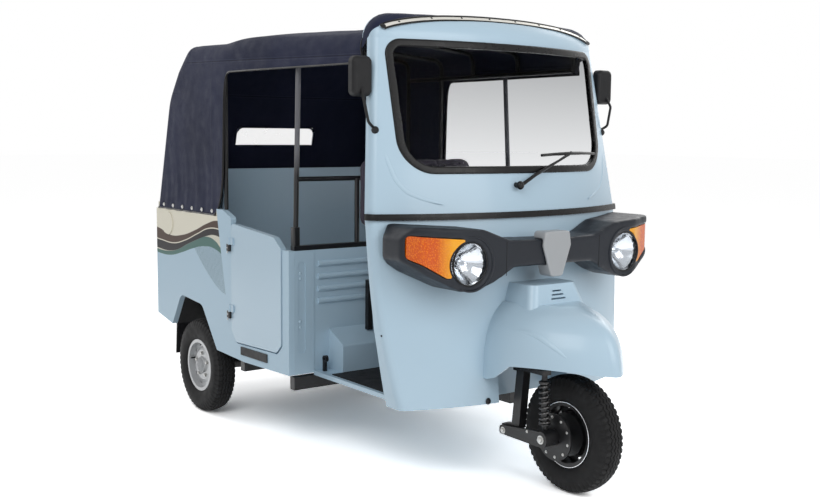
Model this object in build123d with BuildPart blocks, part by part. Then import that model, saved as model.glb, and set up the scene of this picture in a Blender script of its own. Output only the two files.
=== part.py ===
"""Auto rickshaw: three wheels, an open-sided cab and a canvas hood over a passenger bench.

Millimetres. Z is up and the vehicle faces -Y, so its right-hand side is -X.
The origin lies on the ground under the middle of the overall box.
Stations are distances behind the front axle, turned into Y by station().
"""
import os
from math import cos, radians, sin, sqrt, tan

from build123d import *

os.makedirs("parts", exist_ok=True)

# Overall size
WHEELBASE = 2100.0
FRONT_OVERHANG = 250.8      # to the rounded tip of the front fender
REAR_OVERHANG = 520.0
BODY_LENGTH = FRONT_OVERHANG + WHEELBASE + REAR_OVERHANG
SIDE = 720.0                # half width over the body sides
AXLE_HEIGHT = 250.0
REAR_TRACK = 1326.0
FRONT_AXLE_Y = FRONT_OVERHANG - BODY_LENGTH / 2
REAR_AXLE_Y = FRONT_AXLE_Y + WHEELBASE
SEAT_GAP = 0.3              # between a loose piece and what carries it
MOVING_GAP = 7.0            # round a door or lid
RUNNING_FIT = 0.05          # radial clearance of a turning pin


def station(distance):
    """Y of a place that lies `distance` behind the front axle."""
    return FRONT_AXLE_Y + distance


def stations(points):
    """Side-view points as (Y, Z) from (distance behind the front axle, height)."""
    return [(station(distance), height) for distance, height in points]


def side_plane(x):
    """Plane across the vehicle at x, drawn in (Y, Z) and facing +X."""
    return Plane(origin=(x, 0, 0), x_dir=(0, 1, 0), z_dir=(1, 0, 0))


def cross_plane(distance):
    """Plane at a station, drawn in (X, Z) and facing forwards."""
    return Plane(origin=(0, station(distance), 0), x_dir=(1, 0, 0), z_dir=(0, -1, 0))


# Cab skin, as horizontal sections: an arc in front and straight flanks behind it
CAB_WALL = 24.0
CAB_FRONT_RADIUS = 1600.0
CAB_CORNER = 42.0
CAB_FLOOR_Z = 360.0
WAIST_Z = 1160.0
SCREEN_TOP_Z = 1900.0
HEADER_RISE = 106.0         # from the screen's head to the crown of the header
HEADER_INSET = 96.0         # how far the header rolls back over that rise
HEADER_REAR = 650.0
HEADER_STEPS = (0.0, 30.0, 60.0, 84.0)   # degrees of roll
# height, half width, nose station, rear edge station
CAB_LOWER = [
    (CAB_FLOOR_Z, 640.0, 226.0, 462.0),
    (700.0, 699.0, 252.0, 470.0),
    (WAIST_Z, 722.0, 293.0, 508.0),
]
CAB_UPPER = [
    (WAIST_Z, 722.0, 293.0, 508.0),
    (SCREEN_TOP_Z, 642.0, 436.0, 612.0),
]


def cab_section(height, half_width, nose, rear, inset):
    """One closed cab section, moved inwards by inset."""
    width = half_width - inset
    tip = station(nose + inset)
    corner_y = tip + CAB_FRONT_RADIUS - sqrt(CAB_FRONT_RADIUS ** 2 - width ** 2)
    with BuildSketch(Plane.XY.offset(height)) as section:
        with BuildLine():
            ThreePointArc((-width, corner_y), (0, tip), (width, corner_y))
            Polyline((width, corner_y), (width, station(rear)), (-width, station(rear)),
                     (-width, corner_y))
        make_face()
        fillet([v for v in vertices() if abs(v.Y - corner_y) < 0.5], radius=CAB_CORNER)
    return section.sketch


def cab_stack(table, inset, reach):
    """Loft through a table of sections; reach moves their rear edge back."""
    with BuildPart() as stack:
        loft([cab_section(height, half_width, nose, rear + reach, inset).face()
              for height, half_width, nose, rear in table])
    return stack.part


def header_table(inset):
    """Sections of the header that rolls back above the screen."""
    _, half_width, nose, _ = CAB_UPPER[-1]
    rows = []
    for angle in HEADER_STEPS:
        back = HEADER_INSET * (1 - cos(radians(angle)))
        rise = (HEADER_RISE - inset) * sin(radians(angle))
        rows.append((SCREEN_TOP_Z + rise, half_width - 1.3 * back, nose + back, HEADER_REAR))
    return rows


def cab_form(inset, reach):
    """The whole form of the cab, moved inwards by inset."""
    with BuildPart() as form:
        for table in (CAB_LOWER, CAB_UPPER, header_table(inset)):
            add(cab_stack(table, inset, reach))
    return form.part


def skin_station(x, height):
    """Station of the cab's front skin above the waist."""
    low, high = CAB_UPPER
    share = (height - low[0]) / (high[0] - low[0])
    nose = low[2] + share * (high[2] - low[2])
    return nose + CAB_FRONT_RADIUS - sqrt(CAB_FRONT_RADIUS ** 2 - x ** 2)


# Windscreen opening in front view
SCREEN_SILL_Z = 1335.0
SCREEN_HEAD_Z = 1896.0
SCREEN_HALF_TOP = 606.0
SCREEN_HALF_SILL = 592.0
SCREEN_TOP_CORNER = 70.0
SCREEN_SILL_CORNER = 150.0
SEAL_WIDTH = 32.0
SEAL_STAND = 7.0
GLASS_THICKNESS = 5.0
GLASS_DEPTH = 6.0
SCREEN_PLANE = 900.0


def screen_block(inset):
    """Block through the windscreen outline, moved inwards by inset."""
    top = SCREEN_HEAD_Z - inset
    sill = SCREEN_SILL_Z + inset
    half_top = SCREEN_HALF_TOP - inset
    half_sill = SCREEN_HALF_SILL - inset
    with BuildPart() as block:
        with BuildSketch(cross_plane(SCREEN_PLANE)):
            with BuildLine():
                Polyline((-half_sill, sill), (half_sill, sill), (half_top, top),
                         (-half_top, top), (-half_sill, sill))
            make_face()
            fillet([v for v in vertices() if v.Y < sill + 1], radius=SCREEN_SILL_CORNER - inset)
            fillet([v for v in vertices() if v.Y > top - 1], radius=SCREEN_TOP_CORNER - inset)
        extrude(amount=SCREEN_PLANE)
    return block.part


# Steering axis
RAKE = 24.0
TRAIL = 40.0
HEAD_LOW_Z = 575.0
HEAD_HIGH_Z = 920.0
HEAD_RADIUS = 34.0
COLUMN_RADIUS = 25.0
BAR_Z = 1100.0


def steer_point(height):
    """Point of the steering axis at a height."""
    return (0, station(height * tan(radians(RAKE)) - TRAIL), height)


def steer_plane(height):
    """Plane square to the steering axis, local y pointing back and down."""
    return Plane(origin=steer_point(height), x_dir=(1, 0, 0),
                 z_dir=(0, sin(radians(RAKE)), cos(radians(RAKE))))


# Well behind the front wheel, and the slot that the steering head passes
WELL_HALF = 205.0
WELL_BACK = 345.0
WELL_TOP_Z = 645.0
WELL_WALL = 12.0
SLOT_HALF = 45.0
SLOT_LOW_Z = 560.0
SLOT_TOP_Z = 852.0
NECK_HALF = 18.0
NECK_FRONT = WELL_BACK + WELL_WALL + 18.0

cab_outer = cab_form(0.0, 0.0)
floor_height, floor_half, floor_nose, floor_rear = CAB_LOWER[0]

with BuildPart() as cab_inner:
    add(cab_form(CAB_WALL, 400.0))
    extrude(cab_section(floor_height, floor_half, floor_nose, floor_rear + 400.0, CAB_WALL),
            amount=-30)

with BuildPart() as cab_shell:
    add(cab_outer)
    add(cab_inner.part, mode=Mode.SUBTRACT)
    with BuildSketch(side_plane(-WELL_HALF - WELL_WALL)):
        with BuildLine():
            Polyline(stations([(262, CAB_FLOOR_Z), (WELL_BACK + WELL_WALL, CAB_FLOOR_Z),
                               (WELL_BACK + WELL_WALL, WELL_TOP_Z + WELL_WALL),
                               (272, WELL_TOP_Z + WELL_WALL), (262, CAB_FLOOR_Z)]))
        make_face()
    extrude(amount=2 * (WELL_HALF + WELL_WALL))
    with BuildSketch(side_plane(-WELL_HALF)):
        with BuildLine():
            Polyline(stations([(0, CAB_FLOOR_Z - 20), (WELL_BACK, CAB_FLOOR_Z - 20),
                               (WELL_BACK, WELL_TOP_Z), (0, WELL_TOP_Z), (0, CAB_FLOOR_Z - 20)]))
        make_face()
    extrude(amount=2 * WELL_HALF, mode=Mode.SUBTRACT)
    with BuildSketch(cross_plane(WELL_BACK + WELL_WALL + 60)):
        with Locations((0, (SLOT_LOW_Z + SLOT_TOP_Z) / 2)):
            Rectangle(2 * SLOT_HALF, SLOT_TOP_Z - SLOT_LOW_Z)
    extrude(amount=400, mode=Mode.SUBTRACT)
    add(screen_block(0.0), mode=Mode.SUBTRACT)

with BuildPart() as windscreen_glass:
    add(cab_stack(CAB_UPPER, GLASS_DEPTH, 300.0))
    add(cab_stack(CAB_UPPER, GLASS_DEPTH + GLASS_THICKNESS, 900.0), mode=Mode.SUBTRACT)
    add(screen_block(SEAL_WIDTH), mode=Mode.INTERSECT)

with BuildPart() as windscreen_seal:
    add(cab_stack(CAB_UPPER, -SEAL_STAND, 300.0))
    add(cab_stack(CAB_UPPER, CAB_WALL, 900.0), mode=Mode.SUBTRACT)
    add(screen_block(0.0), mode=Mode.INTERSECT)
    add(screen_block(SEAL_WIDTH), mode=Mode.SUBTRACT)

# Rubber strip round the waist
STRIP_HEIGHT = 26.0
STRIP_STAND = 12.0
STRIP_SHORT = 12.0          # how far it stops ahead of the door edge

with BuildPart() as waist_trim:
    add(cab_stack(CAB_LOWER, -STRIP_STAND, -STRIP_SHORT))
    add(cab_stack(CAB_UPPER, -STRIP_STAND, -STRIP_SHORT))
    add(cab_outer, mode=Mode.SUBTRACT)
    with BuildSketch(Plane.XY.offset(WAIST_Z - STRIP_HEIGHT / 2)):
        Rectangle(4 * SIDE, 2 * BODY_LENGTH)
    extrude(amount=STRIP_HEIGHT, mode=Mode.INTERSECT)

# Front fender: pointed sections over the wheel and a squarer hump above them
FENDER_WALL = 10.0
FENDER_REAR = 330.0
FENDER_SHOULDER = (0.79, 0.66)   # where each flank's arc passes: share of width, of length
# height, half width, tip station
FENDER_DOME = [
    (470.0, 268.0, -250.0),
    (560.0, 262.0, -256.0),
    (650.0, 247.0, -232.0),
    (720.0, 220.0, -180.0),
    (765.0, 188.0, -90.0),
    (792.0, 160.0, -5.0),
]
# height, half width, front station
FENDER_HUMP = [
    (755.0, 172.0, 84.0),
    (872.0, 132.0, 124.0),
]
# station, height of the fender's lower edge, from the tip backwards
FENDER_EDGE = [(-300.0, 526.0), (-60.0, 556.0), (110.0, 548.0), (190.0, 488.0), (236.0, 474.0)]


def fender_dome(inset):
    """Loft of the pointed sections, moved inwards by inset."""
    rear = station(FENDER_REAR + inset)
    with BuildPart() as dome:
        for height, half_width, tip in FENDER_DOME:
            width = half_width - inset
            nose = station(tip + inset)
            shoulder_y = rear - FENDER_SHOULDER[1] * (rear - nose)
            with BuildSketch(Plane.XY.offset(height - 0.8 * inset)):
                with BuildLine():
                    ThreePointArc((-width, rear), (-FENDER_SHOULDER[0] * width, shoulder_y),
                                  (0, nose))
                    ThreePointArc((0, nose), (FENDER_SHOULDER[0] * width, shoulder_y),
                                  (width, rear))
                    Line((width, rear), (-width, rear))
                make_face()
                fillet([v for v in vertices() if v.Y < nose + 1], radius=52 - inset)
        loft()
    return dome.part


def fender_hump(inset):
    """Loft of the squarer sections, moved inwards by inset."""
    rear = station(FENDER_REAR + inset)
    with BuildPart() as hump:
        for height, half_width, front in FENDER_HUMP:
            width = half_width - inset
            nose = station(front + inset)
            with BuildSketch(Plane.XY.offset(height - 0.8 * inset)):
                with BuildLine():
                    Polyline((-width, rear), (-width, nose), (width, nose), (width, rear),
                             (-width, rear))
                make_face()
                fillet([v for v in vertices() if v.Y < nose + 1], radius=40 - inset)
        loft()
    return hump.part


with BuildPart() as front_fender:
    add(fender_dome(0.0))
    add(fender_hump(0.0))
    add(fender_dome(FENDER_WALL), mode=Mode.SUBTRACT)
    add(fender_hump(FENDER_WALL), mode=Mode.SUBTRACT)
    with BuildSketch(side_plane(-400)):
        with BuildLine():
            edge = stations(FENDER_EDGE)
            ThreePointArc(edge[0], edge[1], edge[2])
            Polyline(edge[2], edge[3], edge[4], stations([(400, 474)])[0],
                     *stations([(400, 400), (-300, 400)]), edge[0])
        make_face()
    extrude(amount=800, mode=Mode.SUBTRACT)
    add(cab_outer, mode=Mode.SUBTRACT)
    for height in (812.0, 828.0, 844.0):
        with BuildSketch(cross_plane(200)):
            with Locations((0, height)):
                SlotOverall(86 - (height - 812), 7)
        extrude(amount=200, mode=Mode.SUBTRACT)

# Lamp bar across the front: an outline in front view and one in plan
LAMP_X = 453.0
LAMP_Z = 982.0
LAMP_STATION = 151.0
LENS_RADIUS = 86.0
LAMP_RECESS = 88.0
LAMP_DEPTH = 84.0
# x and height, right-hand half, from the top middle round to the bottom middle
LAMP_FRONT = [
    (0.0, 1064.0), (-245.0, 1070.0), (-385.0, 1120.0), (-670.0, 1138.0), (-712.0, 1085.0),
    (-712.0, 1000.0), (-640.0, 942.0), (-500.0, 872.0), (-425.0, 870.0), (-330.0, 900.0),
    (-225.0, 956.0), (0.0, 956.0),
]
# x and station, right-hand half, from the middle outwards
LAMP_PLAN = [(0.0, 128.0), (-300.0, 134.0), (-520.0, 146.0), (-655.0, 196.0), (-722.0, 290.0)]
LAMP_PLAN_REAR = [(-722.0, 395.0), (-600.0, 470.0), (0.0, 470.0)]
# x and height of the right-hand indicator
INDICATOR_FRONT = [(-694.0, 1100.0), (-694.0, 1010.0), (-560.0, 930.0), (-470.0, 930.0),
                   (-470.0, 1082.0)]
INDICATOR_THICKNESS = 24.0
INDICATOR_DEPTH = 4.0
LAMP_BLOCK_Z = 850.0
LAMP_BLOCK_HEIGHT = 330.0


def both_sides(points):
    """A right-hand half outline closed by its mirror image."""
    return points + [(-x, y) for x, y in reversed(points) if x != 0]


def lamp_plan_block(inset):
    """Upright block over the lamp bar's plan, its front moved back by inset."""
    front = [(x if x == 0 else x + 0.6 * inset, station(y + inset)) for x, y in LAMP_PLAN]
    rear = [(x, station(y)) for x, y in LAMP_PLAN_REAR]
    outline = both_sides(front + rear)
    with BuildPart() as block:
        with BuildSketch(Plane.XY.offset(LAMP_BLOCK_Z)):
            with BuildLine():
                Polyline(*outline, outline[0])
            make_face()
            fillet([v for v in vertices() if v.Y < station(240 + inset) and abs(v.X) > 1],
                   radius=60)
        extrude(amount=LAMP_BLOCK_HEIGHT)
    return block.part


def indicator_block():
    """Block through the right-hand indicator's outline, hollowed round the headlamp."""
    with BuildPart() as block:
        with BuildSketch(cross_plane(300)):
            with BuildLine():
                Polyline(*INDICATOR_FRONT, INDICATOR_FRONT[0])
            make_face()
            fillet(vertices(), radius=10)
            with Locations((-LAMP_X, LAMP_Z)):
                Circle(LAMP_RECESS + 10, mode=Mode.SUBTRACT)
        extrude(amount=220)
        add(lamp_plan_block(INDICATOR_DEPTH + INDICATOR_THICKNESS), mode=Mode.SUBTRACT)
    return block.part


with BuildPart() as lamp_block:
    add(lamp_plan_block(0.0))
    with BuildSketch(cross_plane(520)):
        with BuildLine():
            outline = both_sides(LAMP_FRONT)
            Polyline(*outline, outline[0])
        make_face()
        fillet([v for v in vertices() if abs(v.X) > 1], radius=24)
    extrude(amount=420, mode=Mode.INTERSECT)

with BuildPart() as indicator_right:
    add(indicator_block())
    add(lamp_plan_block(INDICATOR_DEPTH), mode=Mode.INTERSECT)

with BuildPart() as indicator_lenses:
    add(indicator_right.part)
    mirror(indicator_right.part, about=Plane.YZ)

with BuildPart() as indicator_pockets:
    add(indicator_block())
    mirror(indicator_block(), about=Plane.YZ)

with BuildPart() as lamp_bar:
    add(lamp_block.part)
    add(cab_outer, mode=Mode.SUBTRACT)
    with BuildSketch(cross_plane(LAMP_STATION + LAMP_DEPTH)):
        with Locations((-LAMP_X, LAMP_Z), (LAMP_X, LAMP_Z)):
            Circle(LAMP_RECESS)
    extrude(amount=200, mode=Mode.SUBTRACT)
    add(indicator_pockets.part, mode=Mode.SUBTRACT)

LENS_THICKNESS = 5.0


def lamp_plane(side):
    """Plane through a headlamp's axis, local x across and local y back along the axis."""
    return Plane(origin=(side * LAMP_X, station(LAMP_STATION), LAMP_Z), x_dir=(1, 0, 0),
                 z_dir=(0, 0, 1))


def cap_middle(edge_radius, edge_y, pole_y):
    """Middle point of the arc of a round cap, from its pole on the axis to its edge."""
    rise = edge_y - pole_y
    ball = (edge_radius ** 2 + rise ** 2) / (2 * abs(rise))
    fall = ball - sqrt(ball ** 2 - edge_radius ** 2 / 4)
    return (edge_radius / 2, pole_y + (fall if rise > 0 else -fall))


RIM_Y = 14.0                # depth of the reflector's rim behind the lamp station
BOWL_RADIUS = LENS_RADIUS - 6.0
BOWL_Y = 70.0
LENS_POLE_Y = -10.0
LENS_EDGE_Y = 6.0


with BuildPart() as headlamp_reflectors:
    for side in (-1, 1):
        with BuildSketch(lamp_plane(side)):
            with BuildLine():
                Polyline((0, BOWL_Y), (0, LAMP_DEPTH - SEAT_GAP),
                         (LAMP_RECESS - SEAT_GAP, LAMP_DEPTH - SEAT_GAP),
                         (LAMP_RECESS - SEAT_GAP, RIM_Y), (BOWL_RADIUS, RIM_Y))
                ThreePointArc((BOWL_RADIUS, RIM_Y), cap_middle(BOWL_RADIUS, RIM_Y, BOWL_Y),
                              (0, BOWL_Y))
            make_face()
        revolve(axis=Axis((side * LAMP_X, 0, LAMP_Z), (0, 1, 0)))

with BuildPart() as headlamp_lenses:
    for side in (-1, 1):
        with BuildSketch(lamp_plane(side)):
            inner_radius = LENS_RADIUS - LENS_THICKNESS
            inner_pole = LENS_POLE_Y + LENS_THICKNESS
            with BuildLine():
                ThreePointArc((0, LENS_POLE_Y), cap_middle(LENS_RADIUS, LENS_EDGE_Y, LENS_POLE_Y),
                              (LENS_RADIUS, LENS_EDGE_Y))
                Polyline((LENS_RADIUS, LENS_EDGE_Y), (LENS_RADIUS, RIM_Y - SEAT_GAP),
                         (inner_radius, RIM_Y - SEAT_GAP))
                ThreePointArc((inner_radius, RIM_Y - SEAT_GAP),
                              cap_middle(inner_radius, RIM_Y - SEAT_GAP, inner_pole),
                              (0, inner_pole))
                Line((0, inner_pole), (0, LENS_POLE_Y))
            make_face()
        revolve(axis=Axis((side * LAMP_X, 0, LAMP_Z), (0, 1, 0)))

BADGE_HALF = 82.0
BADGE_TOP_Z = 1098.0
BADGE_LOW_Z = 904.0
BADGE_FRONT = 114.0

with BuildPart() as badge_plate:
    with BuildSketch(cross_plane(LAMP_PLAN[0][1] + 60)):
        with BuildLine():
            Polyline((-BADGE_HALF + 10, BADGE_TOP_Z), (BADGE_HALF - 10, BADGE_TOP_Z),
                     (BADGE_HALF, BADGE_TOP_Z - 60), (34, BADGE_LOW_Z), (-34, BADGE_LOW_Z),
                     (-BADGE_HALF, BADGE_TOP_Z - 60), (-BADGE_HALF + 10, BADGE_TOP_Z))
        make_face()
        fillet(vertices(), radius=14)
    extrude(amount=LAMP_PLAN[0][1] + 60 - BADGE_FRONT)
    add(lamp_block.part, mode=Mode.SUBTRACT)
    add(cab_outer, mode=Mode.SUBTRACT)

# Wiper
WIPER_PIVOT = (-60.0, 1285.0)
# x, height and stand off the skin
WIPER_ARM = [(-60.0, 1285.0, 24.0), (125.0, 1358.0, 22.0), (310.0, 1426.0, 17.0)]
WIPER_BLADE = [(105.0, 1412.0), (315.0, 1420.0), (525.0, 1416.0)]   # x, height
WIPER_STAND = 9.0


def on_skin(x, height, stand):
    """Point that stands off the cab's front skin."""
    return (x, station(skin_station(x, height) - stand), height)


with BuildPart() as wiper:
    pivot_plane = Plane(origin=on_skin(*WIPER_PIVOT, 26), x_dir=(1, 0, 0), z_dir=(0, 1, 0))
    with BuildSketch(pivot_plane):
        Circle(12)
    extrude(amount=40)
    with BuildLine():
        arm = ThreePointArc(*[on_skin(x, z, stand) for x, z, stand in WIPER_ARM])
    with BuildSketch(Plane(origin=arm @ 0, z_dir=arm % 0)):
        Circle(4.5)
    sweep(path=arm)
    with BuildLine():
        blade = ThreePointArc(*[on_skin(x, z, WIPER_STAND) for x, z in WIPER_BLADE])
    with BuildSketch(Plane(origin=blade @ 0, z_dir=blade % 0)):
        Circle(6.5)
    sweep(path=blade)
    add(cab_outer, mode=Mode.SUBTRACT)

# Door mirrors on curved arms
MIRROR_CENTRE = (714.0, 555.0, 1735.0)     # x, station, height
MIRROR_WIDTH = 96.0
MIRROR_HEIGHT = 165.0
MIRROR_DEPTH = 42.0
MIRROR_ARM = 6.0
MIRROR_ROUTE = [(664.0, 528.0, 1522.0), (706.0, 510.0, 1548.0), (728.0, 512.0, 1640.0),
                (720.0, 545.0, 1700.0)]

with BuildPart() as mirror_left:
    with BuildSketch(cross_plane(MIRROR_CENTRE[1] + MIRROR_DEPTH / 2)):
        with Locations((MIRROR_CENTRE[0], MIRROR_CENTRE[2])):
            RectangleRounded(MIRROR_WIDTH, MIRROR_HEIGHT, 26)
    extrude(amount=MIRROR_DEPTH)
    front_edges = faces().sort_by(Axis.Y)[0].edges()
    fillet(front_edges, radius=18)
    with BuildLine():
        route = FilletPolyline(*[(x, station(y), z) for x, y, z in MIRROR_ROUTE], radius=24)
    with BuildSketch(Plane(origin=route @ 0, z_dir=route % 0)):
        Circle(MIRROR_ARM)
    sweep(path=route)
    add(cab_outer, mode=Mode.SUBTRACT)

with BuildPart() as mirrors:
    add(mirror_left.part)
    mirror(mirror_left.part, about=Plane.YZ)

# Dashboard shelf under the screen
DASH_LOW_Z = 1248.0
DASH_TOP_Z = 1300.0
DASH_REAR = 500.0

with BuildPart() as dashboard:
    add(cab_stack(CAB_UPPER, CAB_WALL + SEAT_GAP, 300.0))
    with BuildSketch(Plane.XY.offset(DASH_LOW_Z)):
        with Locations((0, station(DASH_REAR / 2))):
            Rectangle(1220, DASH_REAR)
    extrude(amount=DASH_TOP_Z - DASH_LOW_Z, mode=Mode.INTERSECT)

# Cab floor
FLOOR_Z = 362.0
FLOOR_THICKNESS = 20.0
FLOOR_TOP_Z = FLOOR_Z + FLOOR_THICKNESS
FLOOR_HALF = 582.0
BULKHEAD_FRONT = 1132.0
BULKHEAD_THICKNESS = 20.0
MAT_THICKNESS = 4.0
MAT_MARGIN = 22.0
NECK_REAR = 560.0

with BuildPart() as cab_floor:
    extrude(cab_section(FLOOR_Z, floor_half, floor_nose, floor_rear, CAB_WALL + 3.0),
            amount=FLOOR_THICKNESS)
    with BuildSketch(Plane.XY.offset(FLOOR_Z)):
        with Locations((0, station((440.0 + BULKHEAD_FRONT - SEAT_GAP) / 2))):
            Rectangle(2 * FLOOR_HALF, BULKHEAD_FRONT - SEAT_GAP - 440.0)
    extrude(amount=FLOOR_THICKNESS)
    with BuildSketch(Plane.XY.offset(FLOOR_Z)):
        with Locations((0, station((WELL_BACK + WELL_WALL + SEAT_GAP) / 2))):
            Rectangle(2 * (WELL_HALF + WELL_WALL + SEAT_GAP), WELL_BACK + WELL_WALL + SEAT_GAP)
        with Locations((0, station((NECK_REAR + 3) / 2))):
            Rectangle(2 * (NECK_HALF + 1), NECK_REAR + 3)
    extrude(amount=FLOOR_THICKNESS, mode=Mode.SUBTRACT)

# Low step box in front of the bulkhead
BOX_HALF = 497.0
BOX_FRONT = 1010.0
BOX_FRONT_Z = 514.0
BOX_REAR_Z = 577.0

with BuildPart() as seat_box:
    with BuildSketch(side_plane(-BOX_HALF)):
        with BuildLine():
            Polyline(stations([(BOX_FRONT, FLOOR_TOP_Z + SEAT_GAP), (BOX_FRONT, BOX_FRONT_Z),
                               (BULKHEAD_FRONT - SEAT_GAP, BOX_REAR_Z),
                               (BULKHEAD_FRONT - SEAT_GAP, FLOOR_TOP_Z + SEAT_GAP),
                               (BOX_FRONT, FLOOR_TOP_Z + SEAT_GAP)]))
        make_face()
    extrude(amount=2 * BOX_HALF)
    fillet(edges().filter_by(Axis.X).group_by(Axis.Y)[0].sort_by(Axis.Z)[-1], radius=14)

with BuildPart() as floor_mat:
    with BuildSketch(Plane.XY.offset(FLOOR_TOP_Z + SEAT_GAP)):
        with Locations((0, station((NECK_REAR + 30 + BOX_FRONT - 2) / 2))):
            Rectangle(2 * (FLOOR_HALF - MAT_MARGIN), BOX_FRONT - 2 - NECK_REAR - 30)
    extrude(amount=MAT_THICKNESS)

# Bulkhead behind the driver, with pressed ribs and a pillar at each end
PANEL = 30.0
PILLAR_INNER = 583.0
PILLAR_DEPTH = 44.0
PILLAR_FRONT = 1128.0
BULKHEAD_LOW_Z = 374.0
BULKHEAD_TOP_Z = 957.0
BULKHEAD_HALF = SIDE - PANEL - SEAT_GAP
RIB_HEIGHTS = (715.0, 773.0, 831.0, 891.0)
RIB_RADIUS = 13.0
RIB_HALF = 560.0
SLOT_X = 650.0
SLOT_WIDTH = 40.0

with BuildPart() as bulkhead:
    with BuildSketch(cross_plane(BULKHEAD_FRONT + BULKHEAD_THICKNESS)):
        with Locations((0, (BULKHEAD_LOW_Z + BULKHEAD_TOP_Z) / 2)):
            Rectangle(2 * BULKHEAD_HALF, BULKHEAD_TOP_Z - BULKHEAD_LOW_Z)
    extrude(amount=BULKHEAD_THICKNESS)
    with BuildSketch(cross_plane(PILLAR_FRONT + PILLAR_DEPTH)):
        with Locations(*[(side * (BULKHEAD_HALF + PILLAR_INNER) / 2,
                          (BULKHEAD_LOW_Z + BULKHEAD_TOP_Z) / 2) for side in (-1, 1)]):
            Rectangle(BULKHEAD_HALF - PILLAR_INNER, BULKHEAD_TOP_Z - BULKHEAD_LOW_Z)
    extrude(amount=PILLAR_DEPTH)
    with BuildSketch(cross_plane(PILLAR_FRONT + 4)):
        with Locations((-SLOT_X, 689), (SLOT_X, 689)):
            SlotOverall(430, SLOT_WIDTH, rotation=90)
    extrude(amount=10, mode=Mode.SUBTRACT)
    with BuildSketch(side_plane(-RIB_HALF)):
        with Locations(*stations([(BULKHEAD_FRONT, z) for z in RIB_HEIGHTS])):
            Circle(RIB_RADIUS)
    extrude(amount=2 * RIB_HALF)

# Tube frame over the bulkhead
TUBE = 12.0
POST_STATION = 1156.0
POST_FOOT_X = 668.0
POST_HEAD_X = 636.0
POST_HEAD_STATION = 1181.0
POST_HEAD_Z = 1800.0
BAR_HEIGHT = 1287.0
UPRIGHT_X = 325.0
RAIL_HEIGHT = 22.0

with BuildPart() as partition_frame:
    with BuildSketch(Plane.XY.offset(BULKHEAD_TOP_Z + SEAT_GAP)):
        with Locations((0, station(POST_STATION - 6))):
            Rectangle(2 * (BULKHEAD_HALF - 2), 32)
    extrude(amount=RAIL_HEIGHT)
    with BuildSketch(Plane.XY.offset(BULKHEAD_TOP_Z + RAIL_HEIGHT)):
        with Locations((-POST_FOOT_X, station(POST_STATION)), (POST_FOOT_X, station(POST_STATION))):
            RectangleRounded(34, 34, 8)
    extrude(amount=86)
    for side in (-1, 1):
        with BuildLine():
            post = Line((side * POST_FOOT_X, station(POST_STATION), BULKHEAD_TOP_Z + 10),
                        (side * POST_HEAD_X, station(POST_HEAD_STATION), POST_HEAD_Z))
        with BuildSketch(Plane(origin=post @ 0, z_dir=post % 0)):
            Circle(TUBE)
        sweep(path=post)
        with BuildLine():
            upright = Line((side * UPRIGHT_X, station(POST_STATION), BULKHEAD_TOP_Z + 10),
                           (side * UPRIGHT_X, station(POST_STATION), BAR_HEIGHT))
        with BuildSketch(Plane(origin=upright @ 0, z_dir=upright % 0)):
            Circle(TUBE)
        sweep(path=upright)
    with BuildLine():
        crossbar = Line((-655, station(POST_STATION + 8), BAR_HEIGHT),
                        (655, station(POST_STATION + 8), BAR_HEIGHT))
    with BuildSketch(Plane(origin=crossbar @ 0, z_dir=crossbar % 0)):
        Circle(TUBE - 1)
    sweep(path=crossbar)

# Driver's seat on its legs
SEAT_HALF = 335.0
SEAT_FRONT = 720.0
SEAT_REAR = 1112.0
SEAT_LOW_Z = 800.0
SEAT_TOP_Z = 880.0
BACK_LOW_Z = 1055.0
BACK_TOP_Z = 1378.0
BACK_THICKNESS = 74.0
BACK_REAR = POST_STATION - TUBE - SEAT_GAP

with BuildPart() as driver_seat:
    with BuildSketch(Plane.XY.offset(SEAT_LOW_Z)):
        with Locations((0, station((SEAT_FRONT + SEAT_REAR) / 2))):
            RectangleRounded(2 * SEAT_HALF, SEAT_REAR - SEAT_FRONT, 40)
    extrude(amount=SEAT_TOP_Z - SEAT_LOW_Z)
    fillet(faces().sort_by(Axis.Z)[-1].edges(), radius=20)
    with BuildSketch(cross_plane(BACK_REAR)):
        with Locations((0, (BACK_LOW_Z + BACK_TOP_Z) / 2)):
            RectangleRounded(2 * SEAT_HALF, BACK_TOP_Z - BACK_LOW_Z, 50)
    extrude(amount=BACK_THICKNESS)
    fillet(faces().sort_by(Axis.Y)[0].edges(), radius=20)

LEG_X = 300.0
LEG_FRONT = 770.0
LEG_REAR = 1085.0
LEG_WIDTH = 26.0

with BuildPart() as seat_frame:
    with BuildSketch(Plane.XY.offset(SEAT_LOW_Z - SEAT_GAP - 22)):
        with Locations((0, station((LEG_FRONT + LEG_REAR) / 2))):
            Rectangle(2 * LEG_X + LEG_WIDTH, LEG_REAR - LEG_FRONT + LEG_WIDTH)
            Rectangle(2 * LEG_X - LEG_WIDTH, LEG_REAR - LEG_FRONT - LEG_WIDTH,
                      mode=Mode.SUBTRACT)
    extrude(amount=22)
    with BuildSketch(Plane.XY.offset(SEAT_LOW_Z - SEAT_GAP - 10)):
        with Locations((-LEG_X, station(LEG_REAR)), (LEG_X, station(LEG_REAR))):
            Rectangle(LEG_WIDTH, LEG_WIDTH)
    extrude(amount=-(SEAT_LOW_Z - SEAT_GAP - 10 - 560))
    with BuildSketch(Plane.XY.offset(SEAT_LOW_Z - SEAT_GAP - 10)):
        with Locations((-LEG_X, station(LEG_FRONT)), (LEG_X, station(LEG_FRONT))):
            Rectangle(LEG_WIDTH, LEG_WIDTH)
    extrude(amount=-(SEAT_LOW_Z - SEAT_GAP - 10 - FLOOR_TOP_Z - MAT_THICKNESS - 2 * SEAT_GAP))
    add(seat_box.part, mode=Mode.SUBTRACT)

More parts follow.
